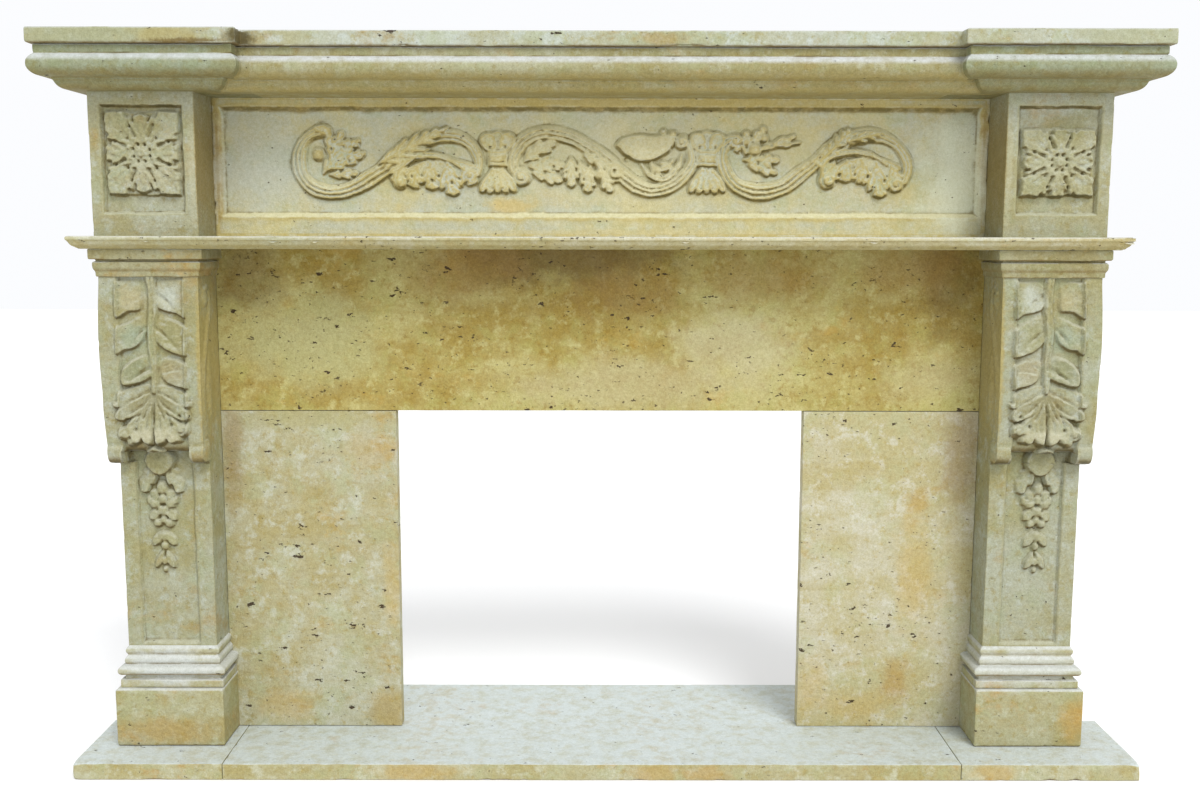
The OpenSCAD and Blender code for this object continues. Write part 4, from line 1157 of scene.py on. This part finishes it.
def make_frieze():
    stone = travertine("architrave_stone", 101, (198, 195, 166), (184, 172, 124), stained=0.5, pitted=1.1,
                       bands=0.3, top=(214, 214, 198), under=(168, 154, 98), light=1.3,
                       marks=ARCHITRAVE_MARKS)
    path = [(-BLOCK_OUT, 0), (-BLOCK_OUT, -BLOCK_D), (BLOCK_OUT, -BLOCK_D), (BLOCK_OUT, 0)]
    run = moulding(ARCHITRAVE, path, FRIEZE_LO - ARCHITRAVE_H, WALL_CLOSING, 4, 101, wear=1.7, step=2.2,
                   chips=((912, -164, 950, 26, 4), (-560, -168, 952, 14, 3), (905, -120, 944, 20, 3)))
    piece("stone_architrave", run, ["architrave"], stone, crease=MOULDED)

    stone = travertine("panel_stone", 102, (180, 183, 164), (192, 184, 138), stained=0.35, pitted=0.3,
                       stain=(192, 164, 84), bands=0.25, carved=0.85, carving=(178, 162, 98), light=1.02,
                       under=(158, 134, 66), top=(210, 206, 166), mottled=0.3,
                       marks=PANEL_MARKS)
    # Rows and columns lie closest over the scroll and along the bevels of the field.
    zs = lines((FRIEZE_LO, 988, 5), (988, 1001, 2.2), (1001, 1014, 4), (1014, 1158, 1.65), (1158, 1176, 4),
               (1176, 1189, 2.2), (1189, FRIEZE_HI, 4))
    xs = lines((-BLOCK_IN, -688, 3), (-688, -674, 2.4), (-674, -560, 6), (-560, 572, 1.65), (572, 674, 6),
               (674, 688, 2.4), (688, BLOCK_IN, 3))
    block = standing(-BLOCK_IN, BLOCK_IN, PANEL_D, zs, (xs + BLOCK_IN) / (2 * BLOCK_IN), spaced(0, 1, 0.34),
                     carve_panel, 102, wear=0.3)
    piece("stone_frieze_panel", block, ["frieze_panel"], stone, crease=CARVED, passes=9)

    for side, seed, tile in (("left", 103, 144), ("right", 104, 116)):
        out = OUT[side]
        stone = travertine("block_stone_" + side, seed, (180, 182, 158), (168, 162, 118), stained=0.4,
                           pitted=0.3, bands=0.25, carved=0.6, carving=(178, 174, 130), under=(150, 128, 70),
                           top=(200, 200, 170), marks=[(out * x, *rest) for x, *rest in BLOCK_MARKS])
        x0, x1 = sorted((out * BLOCK_IN, out * BLOCK_OUT))
        block = standing(x0, x1, BLOCK_D, spaced(FRIEZE_LO, FRIEZE_HI, 1.6, fine=(1.0,)),
                         spaced(0, 1, 1 / 114, fine=(0.005,)), spaced(0, 1, 1 / 22, fine=(0.01,)),
                         carve_block(out, tile), seed, wear=0.8)
        piece("stone_frieze_block_" + side, block, ["frieze_block_" + side], stone,
              crease=CARVED)


def make_cornice():
    z = FRIEZE_HI
    centre = travertine("cornice_stone_middle", 113, (186, 184, 148), (168, 160, 108), stained=0.45,
                        pitted=0.4, bands=0.35, top=(232, 236, 234), under=(182, 164, 98), light=1.6,
                        marks=CORNICE_MARKS)
    for side, seed in (("left", 111), ("right", 112)):
        stone = travertine("cornice_stone_" + side, seed, (158, 165, 134), (150, 150, 106), stained=0.25,
                           pitted=0.4, bands=0.3, top=(222, 228, 224), under=(146, 132, 76), light=1.55,
                           marks=CORNICE_END_HIGHLIGHTS)
        run = side_moulding(CORNICE, [(CORNICE_JOINT, -CORNICE_D), *CORNICE_FRONT], [(CORNICE_JOINT, 0)], z,
                            5, seed, side, wear=0.8)
        end = piece("stone_cornice_" + side, run, ["cornice_" + side], stone, crease=MOULDED)
        tone_inside(end, centre, CORNICE, z, CORNICE_BREAK, CORNICE_D)
    run = moulding(CORNICE, [(-CORNICE_JOINT, -CORNICE_D), (CORNICE_JOINT, -CORNICE_D)], z,
                   [(CORNICE_JOINT, 0), (-CORNICE_JOINT, 0)], 6, 113, wear=0.8,
                   chips=((262, -171, 1239, 12, 5),))
    piece("stone_cornice_middle", run, ["cornice_middle"], centre, crease=MOULDED)

    stone = travertine("shelf_stone", 114, (198, 203, 184), (186, 184, 146), stained=0.7, pitted=0.6,
                       stain=(172, 142, 60), bands=0.4, top=(212, 216, 204), under=(132, 106, 50), light=1.6,
                       marks=SHELF_MARKS)
    run = moulding(SHELF, mirrored(CORNICE_FRONT, "left") + CORNICE_FRONT, z + CORNICE_H, WALL_CLOSING, 6,
                   114, wear=0.8, chips=((-602, -180, 1298, 18, 4), (140, -170, 1272, 30, 3),
                                         (480, -170, 1298, 14, 3), (-330, -170, 1272, 12, 3)))
    piece("stone_shelf", run, ["shelf"], stone, crease=MOULDED)


make_hearth()
make_slips()
make_plinths()
make_legs()
make_frieze()
make_cornice()


# ---------------------------------------------------------------- studio
def make_floor():
    paint = bpy.data.materials.new("floor_paint")
    paint.use_nodes = True
    shader = paint.node_tree.nodes["Principled BSDF"]
    shader.inputs["Base Color"].default_value = (0.84, 0.84, 0.84, 1)
    shader.inputs["Roughness"].default_value = 0.9
    mesh = bpy.data.meshes.new("floor")
    side = 14.0
    corners = [(-side, -side, 0), (side, -side, 0), (side, side, 0), (-side, side, 0)]
    mesh.from_pydata(corners, [], [(0, 1, 2, 3)])
    mesh.materials.append(paint)
    floor = add("floor", mesh)


def add_light(name, kind, aim, energy, place=(0, 0, 0), **settings):
    """A lamp that shines along aim."""
    data = bpy.data.lights.new(name, kind)
    data.energy = energy
    for key, value in settings.items():
        setattr(data, key, value)
    lamp = add(name, data)
    lamp.location = place
    lamp.rotation_mode = "QUATERNION"
    lamp.rotation_quaternion = Vector(aim).to_track_quat("-Z", "Y")


def make_camera():
    """The camera that the photo was fitted with, from the outline of hearth, legs and shelf."""
    data = bpy.data.cameras.new("camera")
    data.sensor_width = 36
    data.lens = 38.1
    data.shift_x = 0.0036
    data.shift_y = 0.0024
    camera = add("camera", data)
    pitch = Matrix.Rotation(math.radians(90 - 7.55), 4, "X")
    yaw = Matrix.Rotation(math.radians(-0.05), 4, "Z")
    roll = Matrix.Rotation(math.radians(0.09), 4, "Z")
    camera.matrix_world = Matrix.Translation((-0.010, -2.352, 0.958)) @ yaw @ pitch @ roll
    bpy.context.scene.camera = camera


make_floor()
make_camera()
world = bpy.data.worlds.new("studio")
world.use_nodes = True
world.node_tree.nodes["Background"].inputs["Color"].default_value = (0.97, 0.98, 1.0, 1)
world.node_tree.nodes["Background"].inputs["Strength"].default_value = 1.0
bpy.context.scene.world = world
bpy.context.scene.view_settings.view_transform = "Standard"
add_light("key", "SUN", (-0.42, 1.0, -1.2), 2.2, angle=math.radians(26))
fill_place, fill_target = Vector((2.6, -3.6, 2.2)), Vector((0, 0, 0.7))
add_light("fill", "AREA", fill_target - fill_place, 20, place=fill_place, shape="DISK", size=2.4)
